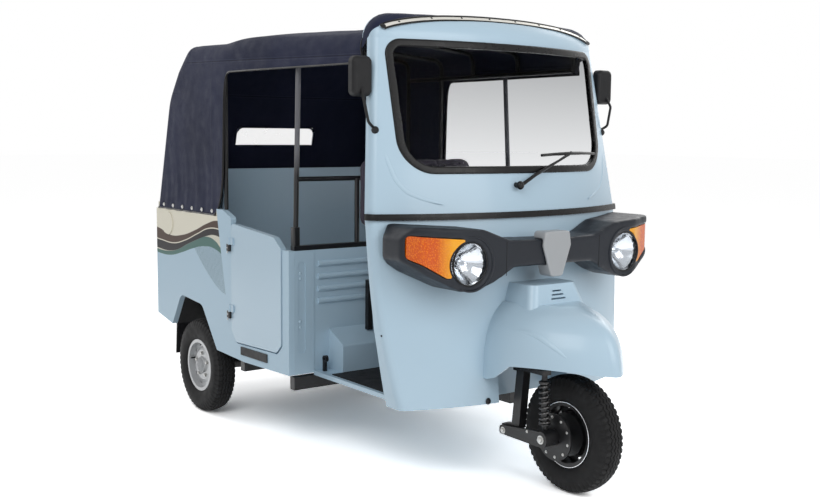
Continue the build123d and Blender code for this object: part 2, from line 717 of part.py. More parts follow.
# Brake pedal and floor lever
with BuildPart() as pedals:
    with BuildSketch(side_plane(-180)):
        with BuildLine():
            Polyline(stations([(500, FLOOR_TOP_Z + SEAT_GAP), (530, FLOOR_TOP_Z + SEAT_GAP),
                               (470, 500), (430, 520), (424, 506), (458, 488),
                               (500, FLOOR_TOP_Z + SEAT_GAP)]))
        make_face()
    extrude(amount=60)
    with BuildSketch(side_plane(-552)):
        with Locations(stations([(1096, FLOOR_TOP_Z + SEAT_GAP + 30)])[0]):
            Rectangle(14, 60)
        with Locations(stations([(1090, FLOOR_TOP_Z + SEAT_GAP + 60)])[0]):
            Circle(16)
            Circle(7, mode=Mode.SUBTRACT)
    extrude(amount=16)

# Body sides, with door opening and wheel arch
DOORWAY_FRONT = 1188.0
DOORWAY_REAR = 1697.0
SIDE_PEAK = 1792.0
SIDE_END = 2600.0
SILL_TOP_Z = 900.0
# station and height, from the front bottom corner round under the panel
SIDE_OUTLINE = [
    (1128.0, 374.0), (1563.0, 362.0), (1862.0, 374.0), (2408.0, 433.0), (SIDE_END, 471.0),
    (SIDE_END, 1105.0), (SIDE_PEAK, 1109.0), (DOORWAY_REAR, 1074.0), (DOORWAY_REAR, 960.0),
    (1128.0, 958.0),
]
ARCH = [(1862.0, 300.0), (1862.0, 372.0), (2035.0, 590.0), (2292.0, 612.0), (2408.0, 430.0),
        (2408.0, 300.0)]
ARCH_CORNER = 60.0
DOOR_OUTLINE = [
    (1195.0, 505.0), (1240.0, 465.0), (1640.0, 452.0), (1690.0, 502.0), (1690.0, 1047.0),
    (1262.0, 1012.0), (1195.0, 962.0),
]
DOOR_CORNER = 24.0
HEM_Z = 1075.0
HEM_REBATE = 12.0
HEM_FRONT = 1855.0
FLAP_STATION = 2450.0
FLAP_Z = 995.0
FLAP_RADIUS = 67.0


def arch_face(x, grow):
    """Wheel arch in side view at x, grown outwards."""
    with BuildSketch(side_plane(x)) as face:
        with BuildLine():
            points = stations(ARCH)
            Polyline(*points, points[0])
        make_face()
        fillet([v for v in vertices() if v.Y > 550], radius=ARCH_CORNER)
        if grow:
            offset(amount=grow)
    return face.sketch


def door_face(x, grow):
    """Door in side view at x, grown outwards."""
    with BuildSketch(side_plane(x)) as face:
        with BuildLine():
            points = stations(DOOR_OUTLINE)
            Polyline(*points, points[0])
        make_face()
        fillet(vertices(), radius=DOOR_CORNER)
        if grow:
            offset(amount=grow)
    return face.sketch


with BuildPart() as side_panel_right:
    with BuildSketch(side_plane(-SIDE)):
        with BuildLine():
            points = stations(SIDE_OUTLINE)
            Polyline(*points, points[0])
        make_face()
        fillet([v for v in vertices() if abs(v.X - station(SIDE_PEAK)) < 1], radius=60)
        fillet(vertices().filter_by(lambda v: abs(v.X - station(DOORWAY_REAR)) < 1).sort_by(Axis.Y)[-1],
               radius=20)
    extrude(amount=PANEL)
    extrude(arch_face(-SIDE, 0.0), amount=PANEL, mode=Mode.SUBTRACT)
    extrude(door_face(-SIDE, MOVING_GAP), amount=PANEL, mode=Mode.SUBTRACT)
    with BuildSketch(side_plane(-SIDE)):
        with Locations((station((DOORWAY_FRONT + DOORWAY_REAR) / 2), SILL_TOP_Z)):
            Rectangle(DOORWAY_REAR - DOORWAY_FRONT, HEM_Z, align=(Align.CENTER, Align.MIN))
    extrude(amount=PANEL, mode=Mode.SUBTRACT)
    with BuildSketch(side_plane(-SIDE)):
        with Locations((station(HEM_FRONT), HEM_Z - 4)):
            Rectangle(SIDE_END - HEM_FRONT + PANEL, HEM_Z, align=(Align.MIN, Align.MIN))
    extrude(amount=HEM_REBATE, mode=Mode.SUBTRACT)

with BuildPart() as side_panel_left:
    mirror(side_panel_right.part, about=Plane.YZ)

# Doors, hinged behind on barrels that stand out of the body
DOOR_OUT = 724.0
DOOR_IN = 694.0
HINGE_X = 730.0
HINGE_STATION = DOORWAY_REAR
HINGE_BARREL = 8.0
HINGE_PIN = 4.0
HINGE_HEIGHTS = (600.0, 940.0)
HINGE_LENGTH = 34.0

with BuildPart() as door_right:
    extrude(door_face(-DOOR_OUT, 0.0), amount=DOOR_OUT - DOOR_IN)
    extrude(door_face(-DOOR_IN, -34.0), amount=-20, mode=Mode.SUBTRACT)
    for height in HINGE_HEIGHTS:
        with BuildSketch(Plane.XY.offset(height)):
            with Locations((-HINGE_X, station(HINGE_STATION))):
                Circle(HINGE_BARREL)
            with Locations((-DOOR_OUT - 3, station(HINGE_STATION - 18))):
                Rectangle(8, 36)
            with Locations((-HINGE_X, station(HINGE_STATION))):
                Circle(HINGE_PIN + RUNNING_FIT, mode=Mode.SUBTRACT)
        extrude(amount=HINGE_LENGTH)

with BuildPart() as door_left:
    mirror(door_right.part, about=Plane.YZ)

with BuildPart() as hinges_right:
    for height in HINGE_HEIGHTS:
        with BuildSketch(Plane.XY.offset(height - SEAT_GAP - HINGE_LENGTH)):
            with Locations((-HINGE_X, station(HINGE_STATION))):
                Circle(HINGE_BARREL)
            with Locations((-SIDE - 4, station(HINGE_STATION + 18))):
                Rectangle(8, 36)
        extrude(amount=HINGE_LENGTH)
        with BuildSketch(Plane.XY.offset(height - SEAT_GAP - HINGE_LENGTH)):
            with Locations((-HINGE_X, station(HINGE_STATION))):
                Circle(HINGE_PIN)
        extrude(amount=2 * HINGE_LENGTH - 4)

with BuildPart() as door_hinges:
    add(hinges_right.part)
    mirror(hinges_right.part, about=Plane.YZ)

# Black step plates on the sills under the doors
with BuildPart() as door_steps:
    for side in (-1, 1):
        with BuildSketch(side_plane(side * SIDE)):
            with BuildLine():
                points = stations([(1330, 400), (1595, 396), (1595, 436), (1330, 441)])
                Polyline(*points, points[0])
            make_face()
        extrude(amount=side * 5)

# Fuel flap on the right
FLAP_THICKNESS = 5.0

with BuildPart() as fuel_flap:
    with BuildSketch(side_plane(-SIDE - SEAT_GAP)):
        with Locations((station(FLAP_STATION), FLAP_Z)):
            Circle(FLAP_RADIUS)
    extrude(amount=-FLAP_THICKNESS)

# Rear panel with its engine lid and lamps
REAR_STATION = 2600.0
REAR_THICKNESS = 20.0
REAR_LOW_Z = 471.0
LID_HALF = 400.0
LID_LOW_Z = 520.0
LID_TOP_Z = 900.0
LID_THICKNESS = 16.0
LID_STAND = 2.0             # how far the lid stands proud of the panel
LID_CORNER = 40.0
LID_HINGE_Z = LID_TOP_Z + 16.0
LID_BARREL = 8.0
LID_PIN = 4.0
LID_LEAF = 6.0
LID_LEAF_HEIGHT = 36.0
LID_KNUCKLE = 40.0
LID_HINGES = (-300.0, 260.0)        # x where each lid knuckle starts


def lid_knuckle(x, leaf_low, has_pin):
    """Hinge knuckle across the vehicle from x, with its leaf against the panel or lid."""
    hinge_point = (station(REAR_STATION + LID_BARREL), LID_HINGE_Z)
    leaf_z = leaf_low + LID_LEAF_HEIGHT / 2
    leaf_y = REAR_STATION if has_pin else REAR_STATION + LID_STAND
    with BuildPart() as knuckle:
        with BuildSketch(side_plane(x)):
            with Locations(hinge_point):
                Circle(LID_BARREL)
            with Locations((station(leaf_y + LID_LEAF / 2), leaf_z)):
                Rectangle(LID_LEAF, LID_LEAF_HEIGHT)
            if not has_pin:
                with Locations(hinge_point):
                    Circle(LID_PIN + RUNNING_FIT, mode=Mode.SUBTRACT)
        extrude(amount=LID_KNUCKLE)
        if has_pin:
            with BuildSketch(side_plane(x)):
                with Locations(hinge_point):
                    Circle(LID_PIN)
            extrude(amount=-LID_KNUCKLE)
    return knuckle.part


with BuildPart() as rear_panel:
    with BuildSketch(cross_plane(REAR_STATION)):
        with Locations((0, (REAR_LOW_Z + HEM_Z - 5) / 2)):
            Rectangle(2 * (SIDE - PANEL - SEAT_GAP), HEM_Z - 5 - REAR_LOW_Z)
        with Locations((0, (LID_LOW_Z + LID_TOP_Z) / 2)):
            RectangleRounded(2 * (LID_HALF + MOVING_GAP),
                             LID_TOP_Z - LID_LOW_Z + 2 * MOVING_GAP,
                             LID_CORNER + MOVING_GAP, mode=Mode.SUBTRACT)
    extrude(amount=REAR_THICKNESS)
    for x in LID_HINGES:
        add(lid_knuckle(x + LID_KNUCKLE + SEAT_GAP, LID_HINGE_Z, True))

with BuildPart() as engine_lid:
    with BuildSketch(cross_plane(REAR_STATION + LID_STAND)):
        with Locations((0, (LID_LOW_Z + LID_TOP_Z) / 2)):
            RectangleRounded(2 * LID_HALF, LID_TOP_Z - LID_LOW_Z, LID_CORNER)
    extrude(amount=LID_THICKNESS)
    with BuildSketch(cross_plane(REAR_STATION + LID_STAND)):
        with Locations(*[(x, z) for x in (-150, 150) for z in (640, 670, 700, 730, 760)]):
            SlotOverall(200, 12)
    extrude(amount=LID_THICKNESS, mode=Mode.SUBTRACT)
    for x in LID_HINGES:
        add(lid_knuckle(x, LID_HINGE_Z - LID_LEAF_HEIGHT, False))

# Tail lamps
with BuildPart() as tail_lamps:
    with BuildSketch(cross_plane(REAR_STATION + 18)):
        with Locations((-600, 820), (600, 820)):
            RectangleRounded(90, 170, 18)
    extrude(amount=18 - SEAT_GAP)

# Passenger floor, bench deck and luggage shelf, folded from one sheet
DECK_Z = 625.0
DECK_THICKNESS = 18.0
RISER_STATION = 1866.0
RISER_HALF = 494.0
SHELF_Z = 916.0
SHELF_RISER = 2232.0
SHELF_REAR = REAR_STATION - REAR_THICKNESS - SEAT_GAP

with BuildPart() as rear_floor:
    with BuildSketch(Plane.XY.offset(FLOOR_Z)):
        with Locations((0, station((PILLAR_FRONT + PILLAR_DEPTH + 1 + RISER_STATION - 16) / 2))):
            Rectangle(2 * BULKHEAD_HALF, RISER_STATION - 16 - PILLAR_FRONT - PILLAR_DEPTH - 1)
    extrude(amount=FLOOR_THICKNESS)
    with BuildSketch(Plane.XY.offset(FLOOR_Z)):
        with Locations((0, station(RISER_STATION - 9))):
            Rectangle(2 * RISER_HALF, 22)
    extrude(amount=DECK_Z - FLOOR_Z + 5)
    with BuildSketch(Plane.XY.offset(DECK_Z)):
        with Locations((0, station((RISER_STATION - 20 + SHELF_RISER) / 2))):
            Rectangle(2 * BULKHEAD_HALF, SHELF_RISER - RISER_STATION + 20)
    extrude(amount=DECK_THICKNESS)
    with BuildSketch(Plane.XY.offset(DECK_Z)):
        with Locations((0, station(SHELF_RISER + DECK_THICKNESS / 2))):
            Rectangle(2 * BULKHEAD_HALF, DECK_THICKNESS)
    extrude(amount=SHELF_Z - DECK_Z)
    with BuildSketch(Plane.XY.offset(SHELF_Z)):
        with Locations((0, station((SHELF_RISER + SHELF_REAR) / 2))):
            Rectangle(2 * BULKHEAD_HALF, SHELF_REAR - SHELF_RISER)
    extrude(amount=DECK_THICKNESS)

# Wheel houses with a flap behind each rear wheel
LINER_WALL = 6.0
LINER_INNER_X = 500.0
FLAP_WIDTH = 120.0

with BuildPart() as liner_right:
    extrude(arch_face(-SIDE + PANEL + SEAT_GAP, LINER_WALL),
            amount=SIDE - PANEL - SEAT_GAP - LINER_INNER_X)
    extrude(arch_face(-SIDE, 0.0), amount=SIDE - LINER_INNER_X - LINER_WALL, mode=Mode.SUBTRACT)
    with BuildSketch(Plane.XY.offset(200)):
        Rectangle(3000, 6000)
    extrude(amount=FLOOR_TOP_Z + 22 - 200, mode=Mode.SUBTRACT)
    with BuildSketch(side_plane(-SIDE + PANEL + SEAT_GAP)):
        with BuildLine():
            points = stations([(2409, 440), (2422, 440), (2434, 258), (2426, 258)])
            Polyline(*points, points[0])
        make_face()
    extrude(amount=FLAP_WIDTH)
    add(side_panel_right.part, mode=Mode.SUBTRACT)

with BuildPart() as arch_liners:
    add(liner_right.part)
    mirror(liner_right.part, about=Plane.YZ)

# Passenger bench
BENCH_HALF = 655.0
BENCH_FRONT = 1800.0
BENCH_REAR = 2180.0
BENCH_TOP_Z = 798.0
BENCH_BACK_TOP_Z = 1300.0
BENCH_BACK_THICKNESS = 30.0

with BuildPart() as bench_cushion:
    with BuildSketch(Plane.XY.offset(DECK_Z + DECK_THICKNESS + SEAT_GAP)):
        with Locations((0, station((BENCH_FRONT + BENCH_REAR) / 2))):
            RectangleRounded(2 * BENCH_HALF, BENCH_REAR - BENCH_FRONT, 40)
    extrude(amount=BENCH_TOP_Z - DECK_Z - DECK_THICKNESS)
    fillet(faces().sort_by(Axis.Z)[-1].edges(), radius=30)

with BuildPart() as bench_back:
    with BuildSketch(cross_plane(BENCH_REAR + SEAT_GAP + BENCH_BACK_THICKNESS)):
        with BuildLine():
            Polyline((-560, DECK_Z + DECK_THICKNESS + SEAT_GAP),
                     (560, DECK_Z + DECK_THICKNESS + SEAT_GAP),
                     (500, BENCH_BACK_TOP_Z), (-500, BENCH_BACK_TOP_Z),
                     (-560, DECK_Z + DECK_THICKNESS + SEAT_GAP))
        make_face()
        fillet([v for v in vertices() if v.Y > 1200], radius=30)
    extrude(amount=BENCH_BACK_THICKNESS)

# Canvas hood over bows: sections across the vehicle, cut to the side outline
HOOD_CLOTH = 6.0
HOOD_FRONT = HEADER_REAR + SEAT_GAP
HOOD_REAR = WHEELBASE + REAR_OVERHANG
HOOD_CORNER = 80.0
# station, half width, edge height, crown height
HOOD_SECTIONS = [
    (HOOD_FRONT, 645.0, 1930.0, 2004.0),
    (1050.0, 668.0, 1932.0, 1992.0),
    (1500.0, 702.0, 1955.0, 2012.0),
    (1750.0, 715.0, 1928.0, 1984.0),
    (2060.0, 719.0, 1940.0, 1992.0),
    (2640.0, 719.0, 1925.0, 1975.0),
]
HOOD_REAR_SLOPE = [(HOOD_REAR, HEM_Z), (2449.0, 1687.0), (2162.0, 2040.0)]
OPENING_FOOT = (1866.0, HEM_Z)
OPENING_HEAD = (1775.0, 1797.0)
WINDOW_HALF = 265.0
WINDOW_LOW_Z = 1420.0
WINDOW_TOP_Z = 1530.0


def hood_form(inset, drop):
    """Solid under the hood's skin, moved inwards by inset and down by drop."""
    slope = stations([(y - inset, z) for y, z in HOOD_REAR_SLOPE])
    front = HOOD_FRONT - drop
    base = HEM_Z - drop - 1
    with BuildPart() as form:
        for distance, half_width, edge_z, crown_z in HOOD_SECTIONS:
            width = half_width - inset
            if distance == HOOD_FRONT:
                distance = front
            with BuildSketch(cross_plane(distance)):
                with BuildLine():
                    Line((-width, HEM_Z - drop), (-width, edge_z - inset))
                    ThreePointArc((-width, edge_z - inset), (0, crown_z - inset),
                                  (width, edge_z - inset))
                    Polyline((width, edge_z - inset), (width, HEM_Z - drop),
                             (-width, HEM_Z - drop))
                make_face()
                fillet([v for v in vertices() if v.Y > 1500], radius=HOOD_CORNER - inset)
        loft(ruled=True)
        with BuildSketch(side_plane(-2 * SIDE)):
            with BuildLine():
                Polyline(*slope, *stations([(front, HOOD_REAR_SLOPE[2][1]), (front, base),
                                            (HOOD_REAR - inset, base)]), slope[0])
            make_face()
            fillet([v for v in vertices() if abs(v.Y - HOOD_REAR_SLOPE[1][1]) < 1], radius=300)
        extrude(amount=4 * SIDE, mode=Mode.INTERSECT)
    return form.part


def window_block(inset):
    """Block through the hood's rear window, moved inwards by inset."""
    with BuildPart() as block:
        with BuildSketch(cross_plane(HOOD_REAR + 20)):
            with Locations((0, (WINDOW_LOW_Z + WINDOW_TOP_Z) / 2)):
                RectangleRounded(2 * (WINDOW_HALF - inset),
                                 WINDOW_TOP_Z - WINDOW_LOW_Z - 2 * inset, 24 - inset)
        extrude(amount=260)
    return block.part


with BuildPart() as canopy:
    add(hood_form(0.0, 0.0))
    add(hood_form(HOOD_CLOTH, 60.0), mode=Mode.SUBTRACT)
    with BuildSketch(side_plane(-2 * SIDE)):
        with BuildLine():
            points = stations([(HOOD_FRONT - 20, HEM_Z - 20), (OPENING_FOOT[0], HEM_Z - 20),
                               OPENING_FOOT, OPENING_HEAD, (HOOD_FRONT - 20, OPENING_HEAD[1])])
            Polyline(*points, points[0])
        make_face()
        fillet([v for v in vertices() if abs(v.X - station(OPENING_HEAD[0])) < 1], radius=36)
    extrude(amount=4 * SIDE, mode=Mode.SUBTRACT)
    add(window_block(0.0), mode=Mode.SUBTRACT)

with BuildPart() as canopy_window:
    with BuildSketch(side_plane(-WINDOW_HALF)):
        with BuildLine():
            low, high = HOOD_REAR_SLOPE[0], HOOD_REAR_SLOPE[1]
            points = stations([(low[0] - 2, low[1]), (low[0] - 4, low[1]),
                               (high[0] - 4, high[1]), (high[0] - 2, high[1])])
            Polyline(*points, points[0])
        make_face()
    extrude(amount=2 * WINDOW_HALF)
    add(window_block(SEAT_GAP), mode=Mode.INTERSECT)

# Steel bows and rails under the hood
BOW_RADIUS = 11.0
BOW_CLEAR = HOOD_CLOTH + BOW_RADIUS + 5.0
BOW_RAIL_Z = 1815.0
BOW_FRONT = HOOD_FRONT + 25.0
HOOP_STATION = 1795.0
REAR_HOOP_STATION = 2120.0


def side_top(distance):
    """Height of the top of the body sides at a station behind the doors."""
    (rear, rear_z), (front, front_z) = SIDE_OUTLINE[5], SIDE_OUTLINE[6]
    return rear_z + (front_z - rear_z) * (distance - rear) / (front - rear)


def hood_at(distance):
    """Half width, edge height and crown height of the hood at a station."""
    for ahead, behind in zip(HOOD_SECTIONS, HOOD_SECTIONS[1:]):
        if ahead[0] <= distance <= behind[0]:
            share = (distance - ahead[0]) / (behind[0] - ahead[0])
            return [a + share * (b - a) for a, b in zip(ahead[1:], behind[1:])]
    return list(HOOD_SECTIONS[-1][1:])


def tube(points, radius, bend):
    """Round tube along a bent route of (x, station, height)."""
    with BuildPart() as pipe:
        with BuildLine() as route_line:
            if len(points) > 2:
                FilletPolyline(*[(x, station(y), z) for x, y, z in points], radius=bend)
            else:
                Line(*[(x, station(y), z) for x, y, z in points])
        route = route_line.wire()
        with BuildSketch(Plane(origin=route @ 0, z_dir=route % 0)):
            Circle(radius)
        sweep(path=route)
    return pipe.part


with BuildPart() as canopy_frame:
    for distance, foot in ((BOW_FRONT, BOW_RAIL_Z), (1100.0, BOW_RAIL_Z), (1500.0, BOW_RAIL_Z),
                           (HOOP_STATION, side_top(HOOP_STATION) + SEAT_GAP),
                           (REAR_HOOP_STATION, side_top(REAR_HOOP_STATION) + SEAT_GAP)):
        half_width, edge_z, crown_z = hood_at(distance)
        x = half_width - BOW_CLEAR
        shoulder = edge_z - BOW_CLEAR + 8
        top = crown_z - BOW_CLEAR - 10
        add(tube([(-x, distance, foot), (-x, distance, shoulder),
                  (-0.55 * x, distance, top - 12), (0.55 * x, distance, top - 12),
                  (x, distance, shoulder), (x, distance, foot)], BOW_RADIUS, 60))
    for side in (-1, 1):
        front_x = hood_at(BOW_FRONT)[0] - BOW_CLEAR
        hoop_x = hood_at(HOOP_STATION)[0] - BOW_CLEAR
        rear_x = hood_at(REAR_HOOP_STATION)[0] - BOW_CLEAR
        add(tube([(side * front_x, BOW_FRONT, BOW_RAIL_Z), (side * hoop_x, HOOP_STATION, BOW_RAIL_Z)],
                 BOW_RADIUS, 0))
        add(tube([(side * hoop_x, HOOP_STATION, BOW_RAIL_Z),
                  (side * rear_x, REAR_HOOP_STATION, BOW_RAIL_Z)], BOW_RADIUS, 0))

# Chassis: two rails with cross members, and the neck that carries the steering head
RAIL_X = 300.0
RAIL_WIDTH = 50.0
RAIL_LOW_Z = 300.0
RAIL_TOP_Z = FLOOR_Z - SEAT_GAP
CROSS_MEMBERS = (585.0, 1150.0, 1640.0, 2480.0)

with BuildPart() as chassis_frame:
    with BuildSketch(Plane.XY.offset(RAIL_LOW_Z)):
        with Locations((-RAIL_X, station((NECK_REAR + 2500) / 2)),
                       (RAIL_X, station((NECK_REAR + 2500) / 2))):
            Rectangle(RAIL_WIDTH, 2500 - NECK_REAR)
        with Locations(*[(0, station(y)) for y in CROSS_MEMBERS]):
            Rectangle(2 * RAIL_X, RAIL_WIDTH)
        with Locations((0, station(CROSS_MEMBERS[1])), (0, station(CROSS_MEMBERS[2]))):
            Rectangle(2 * (SIDE - PANEL - SEAT_GAP), RAIL_WIDTH - 10)
    extrude(amount=RAIL_TOP_Z - RAIL_LOW_Z)
    with BuildSketch(side_plane(-NECK_HALF)):
        with BuildLine():
            points = stations([(NECK_FRONT, RAIL_LOW_Z), (NECK_REAR + 10, RAIL_LOW_Z),
                               (NECK_REAR, RAIL_TOP_Z), (430, 860), (steer_point(860)[1] - FRONT_AXLE_Y, 860),
                               (steer_point(672)[1] - FRONT_AXLE_Y, 672), (NECK_FRONT, 672)])
            Polyline(*points, points[0])
        make_face()
    extrude(amount=2 * NECK_HALF)
    with BuildSketch(steer_plane(HEAD_LOW_Z)):
        Circle(HEAD_RADIUS)
    extrude(amount=(HEAD_HIGH_Z - HEAD_LOW_Z) / cos(radians(RAKE)))
    with BuildSketch(steer_plane(HEAD_LOW_Z - 10)):
        Circle(COLUMN_RADIUS + RUNNING_FIT)
    extrude(amount=(HEAD_HIGH_Z - HEAD_LOW_Z + 20) / cos(radians(RAKE)), mode=Mode.SUBTRACT)

# Engine and gearbox as one block between the rails
ENGINE_HALF = RAIL_X - RAIL_WIDTH / 2 - SEAT_GAP
ENGINE_FRONT = 2080.0
ENGINE_REAR = 2450.0
ENGINE_LOW_Z = 225.0
ENGINE_TOP_Z = 590.0

with BuildPart() as engine_block:
    with BuildSketch(Plane.XY.offset(ENGINE_LOW_Z)):
        with Locations((0, station((ENGINE_FRONT + ENGINE_REAR) / 2))):
            RectangleRounded(2 * ENGINE_HALF, ENGINE_REAR - ENGINE_FRONT, 30)
    extrude(amount=ENGINE_TOP_Z - ENGINE_LOW_Z)

# Rear swinging arms with spindle and strut
ARM_X = 470.0
ARM_WIDTH = 44.0
SPINDLE_RADIUS = 14.0
ARM_PIVOT = (1730.0, 322.0)
STRUT_STATION = 2050.0

with BuildPart() as suspension_right:
    with BuildSketch(side_plane(-ARM_X - ARM_WIDTH)):
        with BuildLine():
            points = stations([(ARM_PIVOT[0] - 30, ARM_PIVOT[1] + 22), (1760, 346),
                               (2130, 290), (2140, 220), (2080, 215), (ARM_PIVOT[0] - 30, 300)])
            Polyline(*points, points[0])
        make_face()
        fillet(vertices(), radius=8)
    extrude(amount=ARM_WIDTH)
    with BuildSketch(side_plane(-ARM_X - 10)):
        with Locations(stations([ARM_PIVOT])[0]):
            Circle(16)
    extrude(amount=ARM_X + 10 - RAIL_X - RAIL_WIDTH / 2 - SEAT_GAP)
    with BuildSketch(side_plane(-REAR_TRACK / 2 - 10)):
        with Locations((REAR_AXLE_Y, AXLE_HEIGHT)):
            Circle(SPINDLE_RADIUS)
    extrude(amount=REAR_TRACK / 2 + 10 - ENGINE_HALF - SEAT_GAP)
    with BuildLine():
        strut_line = Line((-ARM_X - 12, station(STRUT_STATION), 280),
                          (-ARM_X - 2, station(STRUT_STATION - 10), DECK_Z - SEAT_GAP - 1))
    with BuildSketch(Plane(origin=strut_line @ 0, z_dir=strut_line % 0)):
        Circle(13)
    sweep(path=strut_line)

with BuildPart() as rear_suspension:
    add(suspension_right.part)
    mirror(suspension_right.part, about=Plane.YZ)

# Steering: column, handlebar, yoke and the single leg beside the wheel
YOKE_LOW_Z = 508.0
YOKE_THICKNESS = 34.0
LEG_OUT_X = -150.0
LEG_HALF = 20.0
BAR_HALF = 290.0
BAR_PULL = 150.0
GRIP_RADIUS = 16.0

with BuildPart() as steering_column:
    with BuildSketch(steer_plane(YOKE_LOW_Z + 20)):
        Circle(COLUMN_RADIUS)
    extrude(amount=(BAR_Z - YOKE_LOW_Z - 20) / cos(radians(RAKE)))
    with BuildSketch(steer_plane(BAR_Z - 20)):
        with Locations((0, 20)):
            RectangleRounded(150, 110, 24)
    extrude(amount=64)

bar_plane = steer_plane(BAR_Z)

with BuildPart() as handlebar:
    for side in (-1, 1):
        knots = [(side * 50, 20), (side * 120, 30), (side * 190, BAR_PULL - 40),
                 (side * BAR_HALF, BAR_PULL)]
        with BuildLine() as bar_line:
            FilletPolyline(*[bar_plane.from_local_coords(Vector(x, y, 12)) for x, y in knots],
                           radius=34)
        bar_route = bar_line.wire()
        with BuildSketch(Plane(origin=bar_route @ 0, z_dir=bar_route % 0)):
            Circle(11)
        sweep(path=bar_route)
        with BuildLine() as grip_line:
            Line(bar_route @ 0.72, bar_route @ 1.0)
        grip_route = grip_line.wire()
        with BuildSketch(Plane(origin=grip_route @ 0, z_dir=grip_route % 0)):
            Circle(GRIP_RADIUS)
        sweep(path=grip_route)
    add(steering_column.part, mode=Mode.SUBTRACT)

# Front link suspension on the right of the wheel
LINK_PIVOT = (232.0, 238.0)     # station, height
LINK_OUT_X = -186.0
LINK_IN_X = -156.0
DRUM_PLATE_X = -112.0

with BuildPart() as front_fork:
    with BuildSketch(Plane.XY.offset(YOKE_LOW_Z)):
        with Locations(((LEG_OUT_X - LEG_HALF + 40) / 2, station(165))):
            RectangleRounded(40 - LEG_OUT_X + LEG_HALF, 76, 16)
    extrude(amount=YOKE_THICKNESS)
    with BuildSketch(side_plane(LEG_OUT_X - LEG_HALF)):
        with BuildLine():
            points = stations([(128, 520), (128, 500), (150, 262), (202, 214), (258, 214),
                               (258, 262), (196, 274), (172, 500), (172, 520)])
            Polyline(*points, points[0])
        make_face()
    extrude(amount=2 * LEG_HALF)
    with BuildSketch(Plane.XY.offset(YOKE_LOW_Z + 8)):
        with Locations((LEG_OUT_X, station(75))):
            RectangleRounded(46, 150, 12)
    extrude(amount=YOKE_THICKNESS - 14)
    with BuildSketch(steer_plane(YOKE_LOW_Z - 20)):
        Circle(COLUMN_RADIUS)
    extrude(amount=120, mode=Mode.SUBTRACT)

with BuildPart() as front_link:
    with BuildSketch(side_plane(LINK_OUT_X)):
        with BuildLine():
            points = stations([(LINK_PIVOT[0] + 24, LINK_PIVOT[1] - 18),
                               (LINK_PIVOT[0] + 24, LINK_PIVOT[1] + 20), (30, 280), (-24, 278),
                               (-24, 224), (20, 216)])
            Polyline(*points, points[0])
        make_face()
        fillet(vertices(), radius=14)
    extrude(amount=LINK_IN_X - LINK_OUT_X - 16 - SEAT_GAP)
    with BuildSketch(side_plane(LINK_OUT_X)):
        with Locations((FRONT_AXLE_Y, AXLE_HEIGHT)):
            Circle(SPINDLE_RADIUS)
    extrude(amount=LINK_OUT_X * -1 + 44)
    with BuildSketch(side_plane(LINK_OUT_X)):
        with Locations((FRONT_AXLE_Y, AXLE_HEIGHT)):
            Circle(34)
    extrude(amount=DRUM_PLATE_X - LINK_OUT_X)
    with BuildSketch(side_plane(DRUM_PLATE_X)):
        with Locations((FRONT_AXLE_Y, AXLE_HEIGHT)):
            Circle(100)
    extrude(amount=8)

SHOCK_X = LEG_OUT_X
SHOCK_LOW = (14.0, 284.0)
SHOCK_HIGH = (22.0, YOKE_LOW_Z + 8 - 1.2)
COIL_RADIUS = 25.0
COIL_WIRE = 5.0
COIL_TURNS = 8

with BuildPart() as front_shock:
    with BuildLine():
        shock_line = Line((SHOCK_X, station(SHOCK_LOW[0]), SHOCK_LOW[1]),
                          (SHOCK_X, station(SHOCK_HIGH[0]), SHOCK_HIGH[1]))
    with BuildSketch(Plane(origin=shock_line @ 0, z_dir=shock_line % 0)):
        Circle(19)
    sweep(path=shock_line)
    for turn in range(COIL_TURNS):
        place = shock_line @ ((turn + 1.2) / (COIL_TURNS + 1.6))
        with BuildSketch(Plane(origin=place, z_dir=shock_line % 0)):
            Circle(COIL_RADIUS)
        extrude(amount=COIL_WIRE, both=True)
    add(front_link.part, mode=Mode.SUBTRACT)

# Wheels: tyre section and pressed rim, turned about the axle
TYRE_RADIUS = AXLE_HEIGHT
TYRE_WIDTH = 118.0
RIM_SEAT = 127.0
RIM_FLANGE = 139.0
RIM_HALF = 46.0
HUB_RADIUS = 30.0
DRUM_RADIUS = 92.0


def axle_plane(x, y):
    """Plane through an axle at x, local x along it outwards and local y radial."""
    return Plane(origin=(x, y, AXLE_HEIGHT), x_dir=(1, 0, 0), z_dir=(0, -1, 0))


def tyre_solid(x, y):
    """Tyre as a turned section with flat tread and bulged walls."""
    half = TYRE_WIDTH / 2
    with BuildPart() as ring:
        with BuildSketch(axle_plane(x, y)):
            with BuildLine():
                Line((-40, RIM_SEAT + SEAT_GAP), (40, RIM_SEAT + SEAT_GAP))
                Line((40, RIM_SEAT + SEAT_GAP), (40, RIM_FLANGE + 2))
                ThreePointArc((40, RIM_FLANGE + 2), (half, 190), (46, 236))
                ThreePointArc((46, 236), (0, TYRE_RADIUS), (-46, 236))
                ThreePointArc((-46, 236), (-half, 190), (-40, RIM_FLANGE + 2))
                Line((-40, RIM_FLANGE + 2), (-40, RIM_SEAT + SEAT_GAP))
            make_face()
        revolve(axis=Axis((x, y, AXLE_HEIGHT), (1, 0, 0)))
    return ring.part


